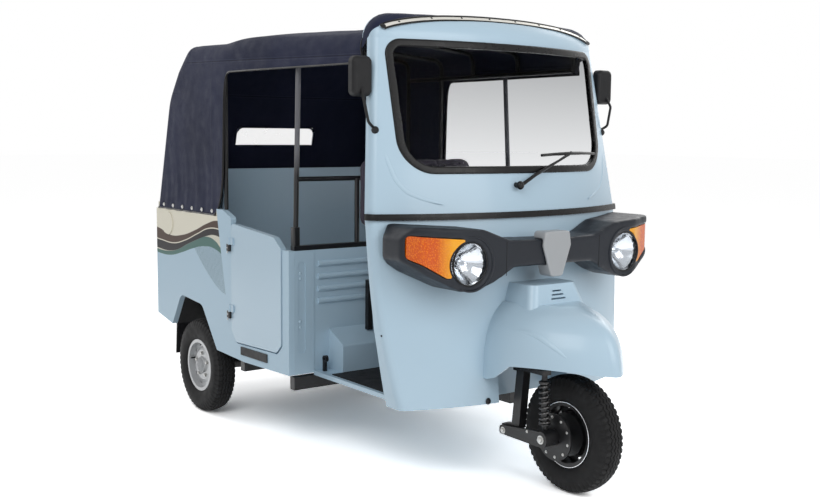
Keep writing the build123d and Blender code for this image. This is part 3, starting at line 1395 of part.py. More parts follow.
def rim_solid(x, y, face):
    """Pressed rim: flanged barrel, dished disc, hub and drum; face is -1 or 1 outwards."""
    section = [
        (-RIM_HALF, RIM_FLANGE), (-RIM_HALF + 5, RIM_FLANGE), (-RIM_HALF + 5, RIM_SEAT),
        (RIM_HALF - 5, RIM_SEAT), (RIM_HALF - 5, RIM_FLANGE), (RIM_HALF, RIM_FLANGE),
        (RIM_HALF, RIM_SEAT - 5), (18, RIM_SEAT - 8), (18, 98), (26, 80), (26, 46),
        (38, 42), (38, SPINDLE_RADIUS + RUNNING_FIT), (-34, SPINDLE_RADIUS + RUNNING_FIT),
        (-34, DRUM_RADIUS), (8, DRUM_RADIUS), (12, 98), (12, RIM_SEAT - 8),
        (-RIM_HALF, RIM_SEAT - 5),
    ]
    turned = [(face * u, v) for u, v in section]
    with BuildPart() as disc:
        with BuildSketch(axle_plane(x, y)):
            with BuildLine():
                Polyline(*turned, turned[0])
            make_face()
        revolve(axis=Axis((x, y, AXLE_HEIGHT), (1, 0, 0)))
        with BuildSketch(side_plane(x)):
            with Locations((y, AXLE_HEIGHT)):
                with PolarLocations(109, 10):
                    SlotOverall(26, 9, rotation=90)
        extrude(amount=face * 60, mode=Mode.SUBTRACT)
    return disc.part


# name, x, y and outward side of each wheel
WHEELS = [
    ("front", 0.0, FRONT_AXLE_Y, 1),
    ("rear_right", -REAR_TRACK / 2, REAR_AXLE_Y, -1),
    ("rear_left", REAR_TRACK / 2, REAR_AXLE_Y, 1),
]
pieces = {}
for name, wheel_x, wheel_y, outward in WHEELS:
    with BuildPart() as tyre:
        add(tyre_solid(wheel_x, wheel_y))
    pieces[f"tyre_{name}"] = tyre
    with BuildPart() as rim:
        add(rim_solid(wheel_x, wheel_y, outward))
    pieces[f"rim_{name}"] = rim

pieces.update(
    cab_shell=cab_shell, windscreen_glass=windscreen_glass, windscreen_seal=windscreen_seal,
    waist_trim=waist_trim, front_fender=front_fender, lamp_bar=lamp_bar,
    headlamp_reflectors=headlamp_reflectors, headlamp_lenses=headlamp_lenses,
    indicator_lenses=indicator_lenses, badge_plate=badge_plate, wiper=wiper, mirrors=mirrors,
    dashboard=dashboard, cab_floor=cab_floor, floor_mat=floor_mat, seat_box=seat_box,
    bulkhead=bulkhead, partition_frame=partition_frame, driver_seat=driver_seat,
    seat_frame=seat_frame, pedals=pedals, side_panel_right=side_panel_right,
    side_panel_left=side_panel_left, door_right=door_right, door_left=door_left,
    door_hinges=door_hinges, door_steps=door_steps, fuel_flap=fuel_flap,
    rear_panel=rear_panel, engine_lid=engine_lid, tail_lamps=tail_lamps,
    rear_floor=rear_floor, arch_liners=arch_liners, bench_cushion=bench_cushion,
    bench_back=bench_back, canopy=canopy, canopy_window=canopy_window,
    canopy_frame=canopy_frame, chassis_frame=chassis_frame, engine_block=engine_block,
    rear_suspension=rear_suspension, steering_column=steering_column, handlebar=handlebar,
    front_fork=front_fork, front_link=front_link, front_shock=front_shock,
)

for node, piece in pieces.items():
    piece.part.label = node
    export_step(piece.part, f"parts/{node}.step")
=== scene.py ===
"""Looks of the auto rickshaw: camera, light, hood, cushions, tyres, fittings and finishes.

Metres. Z is up and the vehicle faces -Y, so its right-hand side is -X.
Stations are distances behind the front axle, turned into Y by at().
"""
from math import cos, pi, radians, sin, tau

import bmesh
import bpy
import numpy as np
from mathutils import Matrix, Vector
from mathutils.bvhtree import BVHTree


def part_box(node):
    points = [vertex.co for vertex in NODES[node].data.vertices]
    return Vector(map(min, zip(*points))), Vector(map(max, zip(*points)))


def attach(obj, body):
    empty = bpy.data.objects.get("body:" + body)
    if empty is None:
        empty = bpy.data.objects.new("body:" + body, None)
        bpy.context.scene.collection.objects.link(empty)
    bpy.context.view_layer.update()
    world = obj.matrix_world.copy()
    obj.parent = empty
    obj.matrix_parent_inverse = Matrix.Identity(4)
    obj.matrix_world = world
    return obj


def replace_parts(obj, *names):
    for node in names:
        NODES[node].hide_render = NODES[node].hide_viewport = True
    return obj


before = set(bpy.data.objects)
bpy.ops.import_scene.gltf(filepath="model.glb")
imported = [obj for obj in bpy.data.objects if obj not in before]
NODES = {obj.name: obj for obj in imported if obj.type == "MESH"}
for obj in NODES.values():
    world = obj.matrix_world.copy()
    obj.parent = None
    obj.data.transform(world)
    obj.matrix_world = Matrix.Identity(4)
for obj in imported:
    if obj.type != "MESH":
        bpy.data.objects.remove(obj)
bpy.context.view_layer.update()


def middle(node):
    """Middle of a node's box."""
    low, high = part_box(node)
    return (low + high) / 2


FRONT_AXLE = middle("tyre_front")


def at(station):
    """Y of a place that lies `station` metres behind the front axle."""
    return FRONT_AXLE.y + station


def placed(name, data):
    """New object around its data, linked into the scene."""
    thing = bpy.data.objects.new(name, data)
    bpy.context.scene.collection.objects.link(thing)
    return thing


# Camera, solved from the photograph's straight edges
PHOTO_WIDTH = 820
SENSOR = 36.0
FOCAL_PIXELS = 1075.963
CAMERA_X, CAMERA_STATION, CAMERA_Z = -3.2224, -3.139, 1.5064
CAMERA_YAW, CAMERA_PITCH, CAMERA_ROLL = radians(-36.8558), radians(6.1995), radians(0.5645)


def place_camera():
    """Camera whose axes are the view direction, and right and up turned by the roll."""
    forward = Vector((-sin(CAMERA_YAW) * cos(CAMERA_PITCH), cos(CAMERA_YAW) * cos(CAMERA_PITCH),
                      -sin(CAMERA_PITCH)))
    level = Vector((cos(CAMERA_YAW), sin(CAMERA_YAW), 0))
    above = level.cross(forward)
    right = level * cos(CAMERA_ROLL) + above * sin(CAMERA_ROLL)
    up = above * cos(CAMERA_ROLL) - level * sin(CAMERA_ROLL)
    data = bpy.data.cameras.new("photo_camera")
    data.sensor_width = SENSOR
    data.lens = FOCAL_PIXELS / PHOTO_WIDTH * SENSOR
    camera = placed("photo_camera", data)
    axes = Matrix((right, up, -forward)).transposed().to_4x4()
    camera.matrix_world = Matrix.Translation((CAMERA_X, at(CAMERA_STATION), CAMERA_Z)) @ axes
    bpy.context.scene.camera = camera


place_camera()


# Material kit
def srgb(red, green, blue):
    """Linear colour of an sRGB one given as 0 to 255."""
    share = np.array((red, green, blue)) / 255
    linear = np.where(share <= 0.04045, share / 12.92, ((share + 0.055) / 1.055) ** 2.4)
    return (*linear.tolist(), 1.0)


def shade(colour, factor):
    """The colour made darker or lighter."""
    return (*(min(1.0, channel * factor) for channel in colour[:3]), 1.0)


def grey(level):
    """Linear grey."""
    return (level, level, level, 1)


class Graph:
    """Node tree of a material or of the world, built up step by step."""

    def __init__(self, tree):
        self.nodes = tree.nodes
        self.links = tree.links

    def plug(self, value, socket):
        """Puts a number, colour or another node's output on a socket."""
        if isinstance(value, bpy.types.NodeSocket):
            self.links.new(value, socket)
        else:
            socket.default_value = value

    def add(self, kind, **values):
        """New node with values on its sockets; underscores stand for spaces."""
        node = self.nodes.new("ShaderNode" + kind)
        for name, value in values.items():
            self.plug(value, node.inputs[name.replace("_", " ")])
        return node

    def maths(self, operation, first, second=0.0, third=0.0):
        """One arithmetic step."""
        node = self.add("Math")
        node.operation = operation
        for value, socket in zip((first, second, third), node.inputs):
            self.plug(value, socket)
        return node.outputs[0]

    def times(self, first, second):
        """Product of two values."""
        return self.maths("MULTIPLY", first, second)

    def less(self, first, second):
        """First value less the second."""
        return self.maths("SUBTRACT", first, second)

    def wave(self, value, pitch):
        """Sine of a value, with one wave to each pitch."""
        return self.maths("SINE", self.times(value, tau / pitch))

    def ramp(self, value, low, high, to_low=0.0, to_high=1.0):
        """The value moved from one range to another, held at its ends."""
        return self.add("MapRange", Value=value, From_Min=low, From_Max=high, To_Min=to_low,
                        To_Max=to_high).outputs["Result"]

    def blend(self, share, first, second):
        """Mix of two colours."""
        node = self.add("Mix")
        node.data_type = "RGBA"
        for value, socket in ((share, 0), (first, 6), (second, 7)):
            self.plug(value, node.inputs[socket])
        return node.outputs[2]

    def seen(self):
        """1 for what is seen, mirrored or looked through, and 0 for what lights."""
        path = self.add("LightPath").outputs
        seen = self.maths("MAXIMUM", path["Is Camera Ray"], path["Is Glossy Ray"])
        return self.maths("MAXIMUM", seen, path["Is Transmission Ray"])


FINISHES = {}


class Finish(Graph):
    """One material, read in the piece's own Object coordinates, and kept in FINISHES."""

    def __init__(self, name):
        material = bpy.data.materials.new(name)
        material.use_nodes = True
        super().__init__(material.node_tree)
        self.shader = self.nodes["Principled BSDF"]
        self.place = self.add("TexCoord").outputs["Object"]
        self.height = None
        self.base = None
        FINISHES[name] = material

    def set(self, **values):
        """Sets the shader's sockets; underscores stand for spaces."""
        for name, value in values.items():
            self.shader.inputs[name.replace("_", " ")].default_value = value
        return self

    def noise(self, scale, detail=3.0, place=None):
        """Noise from 0 to 1 at so many bumps a metre."""
        return self.add("TexNoise", Vector=place or self.place, Scale=scale,
                        Detail=detail).outputs["Fac"]

    def cells(self, scale):
        """Cell distances, as in leather grain."""
        return self.add("TexVoronoi", Vector=self.place, Scale=scale).outputs["Distance"]

    def stretched(self, scales):
        """The place with each axis scaled, for grain that runs one way."""
        return self.add("Mapping", Vector=self.place, Scale=scales).outputs["Vector"]

    def axes(self):
        """X, Y and Z of the place."""
        return self.add("SeparateXYZ", Vector=self.place).outputs

    def colour(self, value):
        """Sets the base colour and keeps it for what goes over it."""
        self.base = value
        self.plug(value, self.shader.inputs["Base Color"])
        return self

    def rough(self, value):
        """Sets the roughness."""
        self.plug(value, self.shader.inputs["Roughness"])
        return self

    def bump(self, value, strength, distance=0.001):
        """Adds a bump on top of those before it."""
        node = self.add("Bump", Strength=strength, Distance=distance, Height=value)
        if self.height is not None:
            self.links.new(self.height, node.inputs["Normal"])
        self.height = node.outputs["Normal"]
        self.links.new(self.height, self.shader.inputs["Normal"])
        return self


# Light
WORLD_LEVEL = 0.43
LAMPS_LOOK_AT = Vector((0, 0, 0.9))
SOFT_LAMPS = (
    # name, place, size, watts
    ("key", (-4.2, -3.6, 4.6), 3.4, 125.0),
    ("front", (0.6, -5.6, 3.0), 3.2, 98.0),
    ("rear", (-2.5, 4.8, 3.6), 3.5, 70.0),
    ("left", (4.6, 0.8, 3.4), 3.5, 70.0),
)


def place_lamp(name, place, size, watts):
    """Square soft lamp that looks at the middle of the vehicle."""
    data = bpy.data.lights.new(name, "AREA")
    data.shape = "SQUARE"
    data.size = size
    data.energy = watts
    lamp = placed(name, data)
    lamp.location = place
    lamp.rotation_euler = (LAMPS_LOOK_AT - lamp.location).to_track_quat("-Z", "Y").to_euler()


def light_scene():
    """White world for what is seen or mirrored, dimmer for what it lights."""
    world = bpy.data.worlds.new("studio")
    bpy.context.scene.world = world
    world.use_nodes = True
    sky = Graph(world.node_tree)
    background = sky.nodes["Background"].inputs
    background["Color"].default_value = grey(1)
    sky.plug(sky.ramp(sky.seen(), 0.0, 1.0, WORLD_LEVEL, 1.0), background["Strength"])
    for row in SOFT_LAMPS:
        place_lamp(*row)
    bpy.context.scene.view_settings.view_transform = "Standard"


light_scene()


# Finishes
def varied(finish, colour, spread, scale):
    """Colour that wanders slightly darker and lighter over the surface."""
    wander = finish.ramp(finish.noise(scale, 2.0), 0.15, 0.85)
    return finish.blend(wander, shade(colour, 1 - spread), shade(colour, 1 + spread))


def enamel(name, colour, rough=0.32, coat=0.25, metallic=0.0):
    """Sprayed paint: clear coat, faint orange peel and slightly uneven gloss."""
    paint = Finish(name).set(Coat_Weight=coat, Coat_Roughness=0.12, Metallic=metallic,
                             Specular_IOR_Level=0.3)
    paint.colour(varied(paint, colour, 0.012, 1.6))
    paint.rough(paint.ramp(paint.noise(3.0, 1.0), 0.1, 0.9, rough - 0.03, rough + 0.05))
    return paint.bump(paint.noise(420.0, 0.0), 0.02, 0.0002)


def moulded(name, colour, rough=0.45, grain=900.0, depth=0.35):
    """Moulded plastic or rubber with a fine leathery grain."""
    plastic = Finish(name).set(Specular_IOR_Level=0.22)
    plastic.colour(varied(plastic, colour, 0.10, 7.0))
    plastic.rough(plastic.ramp(plastic.noise(30.0), 0.3, 0.7, rough - 0.06, rough + 0.08))
    plastic.bump(plastic.cells(grain), depth, 0.0003)
    return plastic.bump(plastic.noise(90.0), 0.08, 0.0005)


def metal(name, colour, rough=0.3, brushed=(1.0, 1.0, 1.0)):
    """Bare or plated metal with fine scratches along one axis."""
    steel = Finish(name).set(Metallic=1.0)
    streaks = steel.noise(220.0, 2.0, place=steel.stretched(brushed))
    steel.colour(varied(steel, colour, 0.08, 14.0))
    steel.rough(steel.ramp(streaks, 0.3, 0.7, rough - 0.06, rough + 0.12))
    steel.bump(streaks, 0.06, 0.0002)


# Colours read off the photograph as real paint and trim colours
BODY_BLUE = srgb(171, 195, 211)
CREAM = srgb(226, 222, 206)
BROWN = srgb(70, 52, 42)
DARK_WAVE = srgb(22, 20, 24)
GREEN_WAVE = srgb(74, 110, 104)
DOT_GREEN = srgb(66, 92, 98)

# Livery bands on the rear body sides: heights of their edges along the panel
LIVERY_REAR = 2.62
LIVERY_FRONT = 1.74
# share of the way from rear to front, height
BROWN_TOP = ((0.0, 0.962), (0.07, 0.957), (0.22, 0.930), (0.40, 0.941), (0.58, 0.979),
             (0.74, 1.024), (0.86, 1.047), (1.0, 1.040))
WHITE_LINE = ((0.0, 0.896), (0.09, 0.891), (0.28, 0.886), (0.44, 0.913), (0.62, 0.962),
              (0.76, 0.998), (0.90, 1.003), (1.0, 0.990))
DARK_LOW = ((0.0, 0.848), (0.07, 0.843), (0.20, 0.840), (0.33, 0.856), (0.46, 0.893),
            (0.60, 0.929), (0.73, 0.958), (0.84, 0.971), (1.0, 0.945))
GREEN_TOP = ((0.0, 0.840), (0.20, 0.838), (0.33, 0.856), (0.46, 0.893), (0.60, 0.929),
             (0.73, 0.956), (0.84, 0.945), (0.93, 0.905), (1.0, 0.870))
GREEN_LOW = ((0.0, 0.822), (0.07, 0.816), (0.23, 0.818), (0.40, 0.847), (0.54, 0.878),
             (0.70, 0.903), (0.84, 0.901), (1.0, 0.850))
LINE_WIDTH = 0.0045
DOT_PITCH = 0.0115
# The waves end ahead at a slanted edge: its station at the ground, and its lean
WAVES_FRONT = 1.610
WAVES_LEAN = 0.222
# The dotted sail below them: the station where it starts and the one where it ends, and its lower
# edge, which rises from its foot as the share of its reach to the power 1.5
SAIL_FRONT, SAIL_REAR = 1.76, 2.15
SAIL_REACH = 0.40
SAIL_FOOT = 0.676
SAIL_RISE = 0.245
# Heights that a band edge can take
CURVE_LOW, CURVE_SPAN = 0.6, 0.6


def curve_height(finish, share, points):
    """Height of a band's edge at a share of the way along the panel."""
    node = finish.add("FloatCurve", Value=share)
    points = [(place, (height - CURVE_LOW) / CURVE_SPAN) for place, height in points]
    curve = node.mapping.curves[0].points
    for place, height in points[1:-1]:
        curve.new(place, height)
    curve[0].location = points[0]
    curve[-1].location = points[-1]
    node.mapping.update()
    return finish.maths("MULTIPLY_ADD", node.outputs[0], CURVE_SPAN, CURVE_LOW)


def livery_paint():
    """Body enamel with cream, brown, dark and green waves over the rear body side."""
    paint = enamel("body_livery", BODY_BLUE, coat=0.0).set(Specular_IOR_Level=0.14)
    _, y, z = paint.axes()
    # share of the way along the panel
    share = paint.maths("DIVIDE", paint.less(at(LIVERY_REAR), y), LIVERY_REAR - LIVERY_FRONT)
    # painted sheen: the body blue on these panels is painted 5% lighter than on the doors, standing in for
    # the gloss reflection that their weaker coat and specular leave out
    body = varied(paint, shade(BODY_BLUE, 1.05), 0.012, 1.6)

    def above(points, low=-0.0012, high=0.0012):
        return paint.ramp(paint.less(z, curve_height(paint, share, points)), low, high)

    rising = paint.wave(paint.maths("ADD", y, z), DOT_PITCH)
    falling = paint.wave(paint.less(y, z), DOT_PITCH)
    dots = paint.ramp(paint.times(rising, falling), 0.05, 0.25)
    along = paint.maths("DIVIDE", paint.less(y, at(SAIL_FRONT)), SAIL_REACH)
    edge = paint.maths("POWER", paint.maths("MAXIMUM", along, 0.0), 1.5)
    over_edge = paint.less(z, paint.maths("MULTIPLY_ADD", edge, SAIL_RISE, SAIL_FOOT))
    in_sail = paint.times(paint.ramp(over_edge, 0.0, 0.004),
                          paint.ramp(y, at(SAIL_REAR), at(SAIL_REAR) - 0.01))
    result = paint.blend(paint.times(paint.times(in_sail, dots), 0.9), body, DOT_GREEN)
    cream_dots = paint.blend(paint.times(dots, 0.5), CREAM, DOT_GREEN)
    for share_of, colour in ((above(GREEN_LOW), GREEN_WAVE), (above(GREEN_TOP), cream_dots),
                             (above(DARK_LOW), DARK_WAVE), (above(WHITE_LINE, -0.001, 0.001), CREAM),
                             (above(WHITE_LINE, LINE_WIDTH, LINE_WIDTH + 0.002), BROWN),
                             (above(BROWN_TOP), CREAM)):
        result = paint.blend(share_of, result, colour)
    slant = paint.maths("ADD", y, paint.times(z, -WAVES_LEAN))
    front = paint.ramp(slant, at(WAVES_FRONT) - 0.0015, at(WAVES_FRONT) + 0.0015)
    paint.colour(paint.blend(front, body, result))


WEAVE_PITCH = 0.0022
STITCH_PITCH = 0.007
EAVES_HEIGHT = 1.853
EAVES_STATION = 1.8
EAVES_SLOPE = 0.02
SIDE_SEAM = 1.905
REAR_SEAM = 1.705


def canvas_finish():
    """Coated hood canvas: a plain weave that follows the cloth's UV map, which is in metres."""
    cloth = Finish("hood_canvas").set(Sheen_Weight=0.06, Sheen_Roughness=0.4, Specular_IOR_Level=0.12)
    uv = cloth.add("UVMap").outputs["UV"]
    warp, weft, _ = cloth.add("SeparateXYZ", Vector=uv).outputs
    weave = cloth.times(cloth.wave(warp, WEAVE_PITCH), cloth.wave(weft, WEAVE_PITCH))
    faded = cloth.ramp(cloth.noise(2.4, 5.0), 0.3, 0.75)
    base = cloth.blend(faded, srgb(33, 37, 56), srgb(44, 48, 70))
    cloth.colour(cloth.blend(cloth.ramp(weave, -1.0, 1.0, 0.0, 0.2), base, srgb(22, 25, 40)))
    cloth.rough(cloth.ramp(cloth.noise(20.0), 0.3, 0.7, 0.62, 0.8))
    cloth.bump(weave, 0.3, 0.0004)
    cloth.bump(cloth.noise(26.0, 4.0), 0.2, 0.002)
    x, y, z = cloth.axes()
    on_side = cloth.ramp(cloth.maths("ABSOLUTE", x), 0.60, 0.64)
    below = cloth.ramp(z, 1.86, 1.85)
    behind = cloth.ramp(y, at(2.30), at(2.31))
    eaves = cloth.maths("ADD", z, cloth.maths("MULTIPLY_ADD", y, -EAVES_SLOPE,
                                              EAVES_SLOPE * at(EAVES_STATION) - EAVES_HEIGHT))
    # distance from the seam, place along it, and where it runs
    seams = ((eaves, y, on_side),
             (cloth.less(y, at(SIDE_SEAM)), z, cloth.times(on_side, below)),
             (cloth.less(z, REAR_SEAM), cloth.maths("ADD", x, y), behind))
    for distance, along, where in seams:
        off = cloth.maths("ABSOLUTE", distance)
        line = cloth.times(cloth.ramp(off, 0.0008, 0.0022, 1.0, 0.0), where)
        row = cloth.ramp(cloth.maths("ABSOLUTE", cloth.less(off, 0.006)), 0.0006, 0.0012, 1.0, 0.0)
        dash = cloth.ramp(cloth.wave(along, STITCH_PITCH), 0.0, 0.3)
        stitch = cloth.times(cloth.times(row, dash), where)
        lap = cloth.times(cloth.ramp(off, 0.010, 0.012, 1.0, 0.0), where)
        cloth.colour(cloth.blend(cloth.times(line, 0.6), cloth.base, srgb(14, 15, 24)))
        cloth.colour(cloth.blend(cloth.times(stitch, 0.5), cloth.base, srgb(78, 82, 104)))
        cloth.bump(cloth.less(cloth.maths("ADD", lap, stitch), line), 0.5, 0.001)


POST_BLACK = srgb(20, 20, 22)


def make_finishes():
    """Every finish of the vehicle."""
    enamel("body_enamel", BODY_BLUE)
    livery_paint()
    enamel("black_steel", srgb(17, 17, 19), rough=0.36, coat=0.0).set(Specular_IOR_Level=0.35)
    moulded("black_plastic", srgb(20, 20, 22), rough=0.5)
    moulded("seal_rubber", srgb(11, 11, 12), rough=0.3, grain=1500.0, depth=0.1)
    moulded("lamp_bar_plastic", srgb(26, 30, 37), rough=0.42, grain=1300.0, depth=0.18)
    enamel("badge_grey", srgb(156, 159, 162), rough=0.34, coat=0.2)
    metal("header_strip", srgb(214, 212, 205), rough=0.34, brushed=(8.0, 1.0, 1.0))
    metal("lamp_facets", srgb(196, 199, 203), rough=0.12)
    enamel("spring_black", srgb(34, 32, 32), rough=0.3, coat=0.6)
    metal("chrome", srgb(225, 227, 230), rough=0.12)
    metal("zinc_bolts", srgb(170, 170, 168), rough=0.32)
    enamel("silver_rim", srgb(172, 174, 176), rough=0.36, coat=0.2, metallic=0.35)
    metal("engine_castings", srgb(120, 122, 124), rough=0.5)
    metal("mirror_glass", srgb(235, 238, 240), rough=0.06)
    post = enamel("post_paint", POST_BLACK, rough=0.38, coat=0.2)
    post.colour(post.blend(post.ramp(post.axes()[2], 1.30, 1.42), POST_BLACK, srgb(98, 98, 103)))
    rubber = moulded("tyre_rubber", srgb(20, 20, 21), rough=0.72, grain=500.0, depth=0.3)
    rubber.bump(rubber.noise(14.0), 0.08, 0.002)
    mat = moulded("floor_mat", srgb(28, 28, 30), rough=0.62, grain=700.0, depth=0.3)
    mat.bump(mat.wave(mat.axes()[0], 0.012), 0.5, 0.001)
    vinyl = moulded("seat_vinyl", srgb(52, 47, 60), rough=0.5, grain=620.0, depth=0.5)
    vinyl.set(Sheen_Weight=0.15).bump(vinyl.noise(16.0, 5.0), 0.25, 0.004)
    glass = Finish("windscreen_glass").set(Transmission_Weight=1.0, IOR=1.05, Roughness=0.0)
    # painted reflection: the glass is coloured darker towards the top, standing in for the grey reflection
    # that runs down the windscreen
    glass.colour(glass.blend(glass.ramp(glass.axes()[2], 1.36, 1.82), (0.82, 0.83, 0.84, 1),
                             (0.42, 0.43, 0.44, 1)))
    sheet = Finish("clear_sheet").set(Transmission_Weight=1.0, IOR=1.1).colour(srgb(240, 240, 240))
    sheet.rough(sheet.ramp(sheet.noise(12.0), 0.3, 0.7, 0.25, 0.4))
    sheet.bump(sheet.noise(4.0, 0.0), 0.02, 0.002)
    lens = Finish("headlamp_glass").set(Transmission_Weight=1.0, IOR=1.08, Roughness=0.0)
    lens.colour(srgb(246, 248, 250)).bump(lens.noise(60.0, 1.0), 0.05, 0.001)
    amber = Finish("amber_lens").set(Transmission_Weight=0.15, IOR=1.35, Coat_Weight=0.2,
                                     Coat_Roughness=0.05)
    # painted glints: the lens's facet cells are coloured lighter and darker orange, standing in for light
    # caught by the facets
    sparkle = amber.ramp(amber.cells(150.0), 0.1, 0.6)
    orange = amber.blend(sparkle, srgb(246, 136, 12), srgb(214, 84, 4))
    # painted highlight: the lens's inner part next to the headlamp is a brighter yellow, standing in for a
    # bright flare
    beyond_painted_flare = amber.ramp(amber.maths("ABSOLUTE", amber.axes()[0]), 0.535, 0.60)
    amber.colour(amber.blend(beyond_painted_flare, srgb(255, 176, 34), orange))
    amber.rough(amber.ramp(amber.noise(40.0), 0.3, 0.7, 0.12, 0.24))
    amber.bump(amber.cells(150.0), 0.35, 0.002)
    red = Finish("red_lens").set(Transmission_Weight=0.2, IOR=1.45, Coat_Weight=0.8,
                                 Coat_Roughness=0.05)
    # painted glints: the lens's facet cells are coloured lighter and darker red, standing in for light
    # caught by the facets
    red.colour(red.blend(red.ramp(red.cells(70.0), 0.1, 0.6), srgb(214, 40, 34), srgb(150, 14, 16)))
    red.rough(red.ramp(red.noise(40.0), 0.3, 0.7, 0.12, 0.24))
    red.bump(red.wave(red.axes()[2], 0.012), 0.35, 0.001)
    canvas_finish()


make_finishes()

NODE_FINISH = {
    "body_enamel": ["cab_shell", "front_fender", "door_right", "door_left", "rear_panel", "engine_lid",
                    "bulkhead", "seat_box", "cab_floor", "rear_floor", "bench_back"],
    "body_livery": ["side_panel_right", "side_panel_left", "fuel_flap"],
    "seal_rubber": ["windscreen_seal", "waist_trim"],
    "lamp_bar_plastic": ["lamp_bar"],
    "windscreen_glass": ["windscreen_glass"],
    "headlamp_glass": ["headlamp_lenses"],
    "amber_lens": ["indicator_lenses"],
    "red_lens": ["tail_lamps"],
    "chrome": ["headlamp_reflectors"],
    "badge_grey": ["badge_plate"],
    "black_steel": ["canopy_frame", "seat_frame", "chassis_frame", "rear_suspension", "front_fork",
                    "front_link", "front_shock", "door_hinges", "wiper", "pedals", "steering_column",
                    "handlebar", "rim_front"],
    "black_plastic": ["mirrors", "dashboard", "door_steps", "arch_liners"],
    "tyre_rubber": ["tyre_front", "tyre_rear_right", "tyre_rear_left"],
    "post_paint": ["partition_frame"],
    "silver_rim": ["rim_rear_right", "rim_rear_left"],
    "seat_vinyl": ["driver_seat", "bench_cushion"],
    "engine_castings": ["engine_block"],
    "floor_mat": ["floor_mat"],
    "clear_sheet": ["canopy_window"],
    "hood_canvas": ["canopy"],
}


def dress_nodes():
    """Puts each finish on the nodes that have it."""
    for finish, names in NODE_FINISH.items():
        for name in names:
            slots = NODES[name].data.materials
            slots.clear()
            slots.append(FINISHES[finish])


dress_nodes()


# Mesh kit
WELD = 0.00002
SHARP = radians(38)


def stack(*columns):
    """Points from their coordinates side by side; a single number serves every point."""
    return np.stack(np.broadcast_arrays(*columns), axis=-1)


def full_turn(count):
    """Angles of a full turn in even steps."""
    return np.linspace(0, tau, count, endpoint=False)


def read(items, key, kind=float, width=3):
    """One property of each of a mesh's items, as rows of numbers."""
    values = np.empty(len(items) * width, kind)
    items.foreach_get(key, values)
    return values.reshape(-1, width)


class Surface:
    """Grids of points gathered into one mesh."""

    def __init__(self):
        self.points = []
        self.quads = []
        self.total = 0

    def grid(self, points):
        """Quads between neighbours of a rows by columns grid whose last column joins its first."""
        rows, columns = points.shape[:2]
        index = np.arange(rows * columns).reshape(rows, columns) + self.total
        index = np.concatenate((index, index[:, :1]), axis=1)
        quads = np.stack((index[:-1, :-1], index[1:, :-1], index[1:, 1:], index[:-1, 1:]), axis=-1)
        self.points.append(points.reshape(-1, 3))
        self.quads.append(quads.reshape(-1, 4))
        self.total += rows * columns
        return self

    def make(self, name, finish, body, slot, sharp=SHARP):
        """The mesh as a piece that rides on a body, with doubled points joined."""
        mesh = bpy.data.meshes.new(name)
        mesh.from_pydata(np.concatenate(self.points).tolist(), [], np.concatenate(self.quads).tolist())
        work = bmesh.new()
        work.from_mesh(mesh)
        bmesh.ops.remove_doubles(work, verts=work.verts, dist=WELD)
        bmesh.ops.dissolve_degenerate(work, edges=work.edges, dist=WELD)
        bmesh.ops.recalc_face_normals(work, faces=work.faces)
        work.to_mesh(mesh)
        work.free()
        mesh.shade_smooth()
        mesh.set_sharp_from_angle(angle=sharp)
        mesh.materials.append(FINISHES[finish])
        piece = placed(name, mesh)
        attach(piece, body)
        return piece


def unit(vectors):
    """Vectors scaled to length one."""
    return vectors / np.maximum(np.linalg.norm(vectors, axis=-1, keepdims=True), 1e-9)


def turned(profile, centre, axis, sides=32):
    """Profile of (distance along axis, radius) rows turned about an axis through centre."""
    axis = unit(np.array(axis, float))
    aside = unit(np.cross(axis, (0.31, 0.17, 0.93)))
    above = np.cross(axis, aside)
    angle = full_turn(sides)[:, None]
    ring = np.cos(angle) * aside + np.sin(angle) * above
    profile = np.array(profile, float)
    return np.array(centre, float) + profile[:, :1, None] * axis + profile[:, 1:, None] * ring[None]


def carried(path, along, radius, sides, upright, flat=1.0):
    """Rings of a radius square to a path; flat squeezes them along upright."""
    aside = unit(np.cross(along, upright))[:, None]
    above = np.cross(aside, along[:, None])
    angle = full_turn(sides)[:, None]
    ring = np.cos(angle) * aside + flat * np.sin(angle) * above
    return path[:, None] + np.reshape(radius, (-1, 1, 1)) * ring


def piped(path, radius, sides=12, upright=(0.0, 0.0, 1.0), flat=1.0):
    """Rings of a radius carried along a path, closed at both ends."""
    path = np.array(path, float)
    radius = np.broadcast_to(np.array(radius, float), (len(path),))
    path = np.concatenate((path[:1], path, path[-1:]))
    along = unit(np.gradient(path, axis=0))
    along[0] = along[1]
    along[-1] = along[-2]
    return carried(path, along, np.concatenate(([0.0], radius, [0.0])), sides, upright, flat)


def looped(path, radius, sides=10, upright=(0.0, 0.0, 1.0)):
    """Rings of a radius carried round a closed path."""
    along = unit(np.roll(path, -1, axis=0) - np.roll(path, 1, axis=0))
    rings = carried(path, along, radius, sides, upright)
    return np.concatenate((rings, rings[:1]))


def smoothed(values, reach):
    """Running mean over 2 * reach + 1 samples, done twice, with the ends held in place."""
    weight = np.ones(2 * reach + 1) / (2 * reach + 1)
    for _ in range(2):
        before = 2 * values[0] - values[reach:0:-1]
        after = 2 * values[-1] - values[-2:-reach - 2:-1]
        padded = np.concatenate((before, values, after))
        if values.ndim == 1:
            values = np.convolve(padded, weight, "valid")
        else:
            values = np.stack([np.convolve(column, weight, "valid") for column in padded.T], axis=-1)
    return values


def along_line(points, count, reach, shares=None):
    """Points evenly spaced on a line of straight runs, its corners rounded over reach samples."""
    points = np.array(points, float)
    steps = np.linalg.norm(np.diff(points, axis=0), axis=1)
    travelled = np.concatenate(([0.0], np.cumsum(steps)))
    fine = np.linspace(0, travelled[-1], 1201)
    line = smoothed(np.stack([np.interp(fine, travelled, column) for column in points.T], axis=-1), reach)
    wanted = np.linspace(0, 1, count) if shares is None else shares
    return np.stack([np.interp(wanted * travelled[-1], fine, column) for column in line.T], axis=-1)


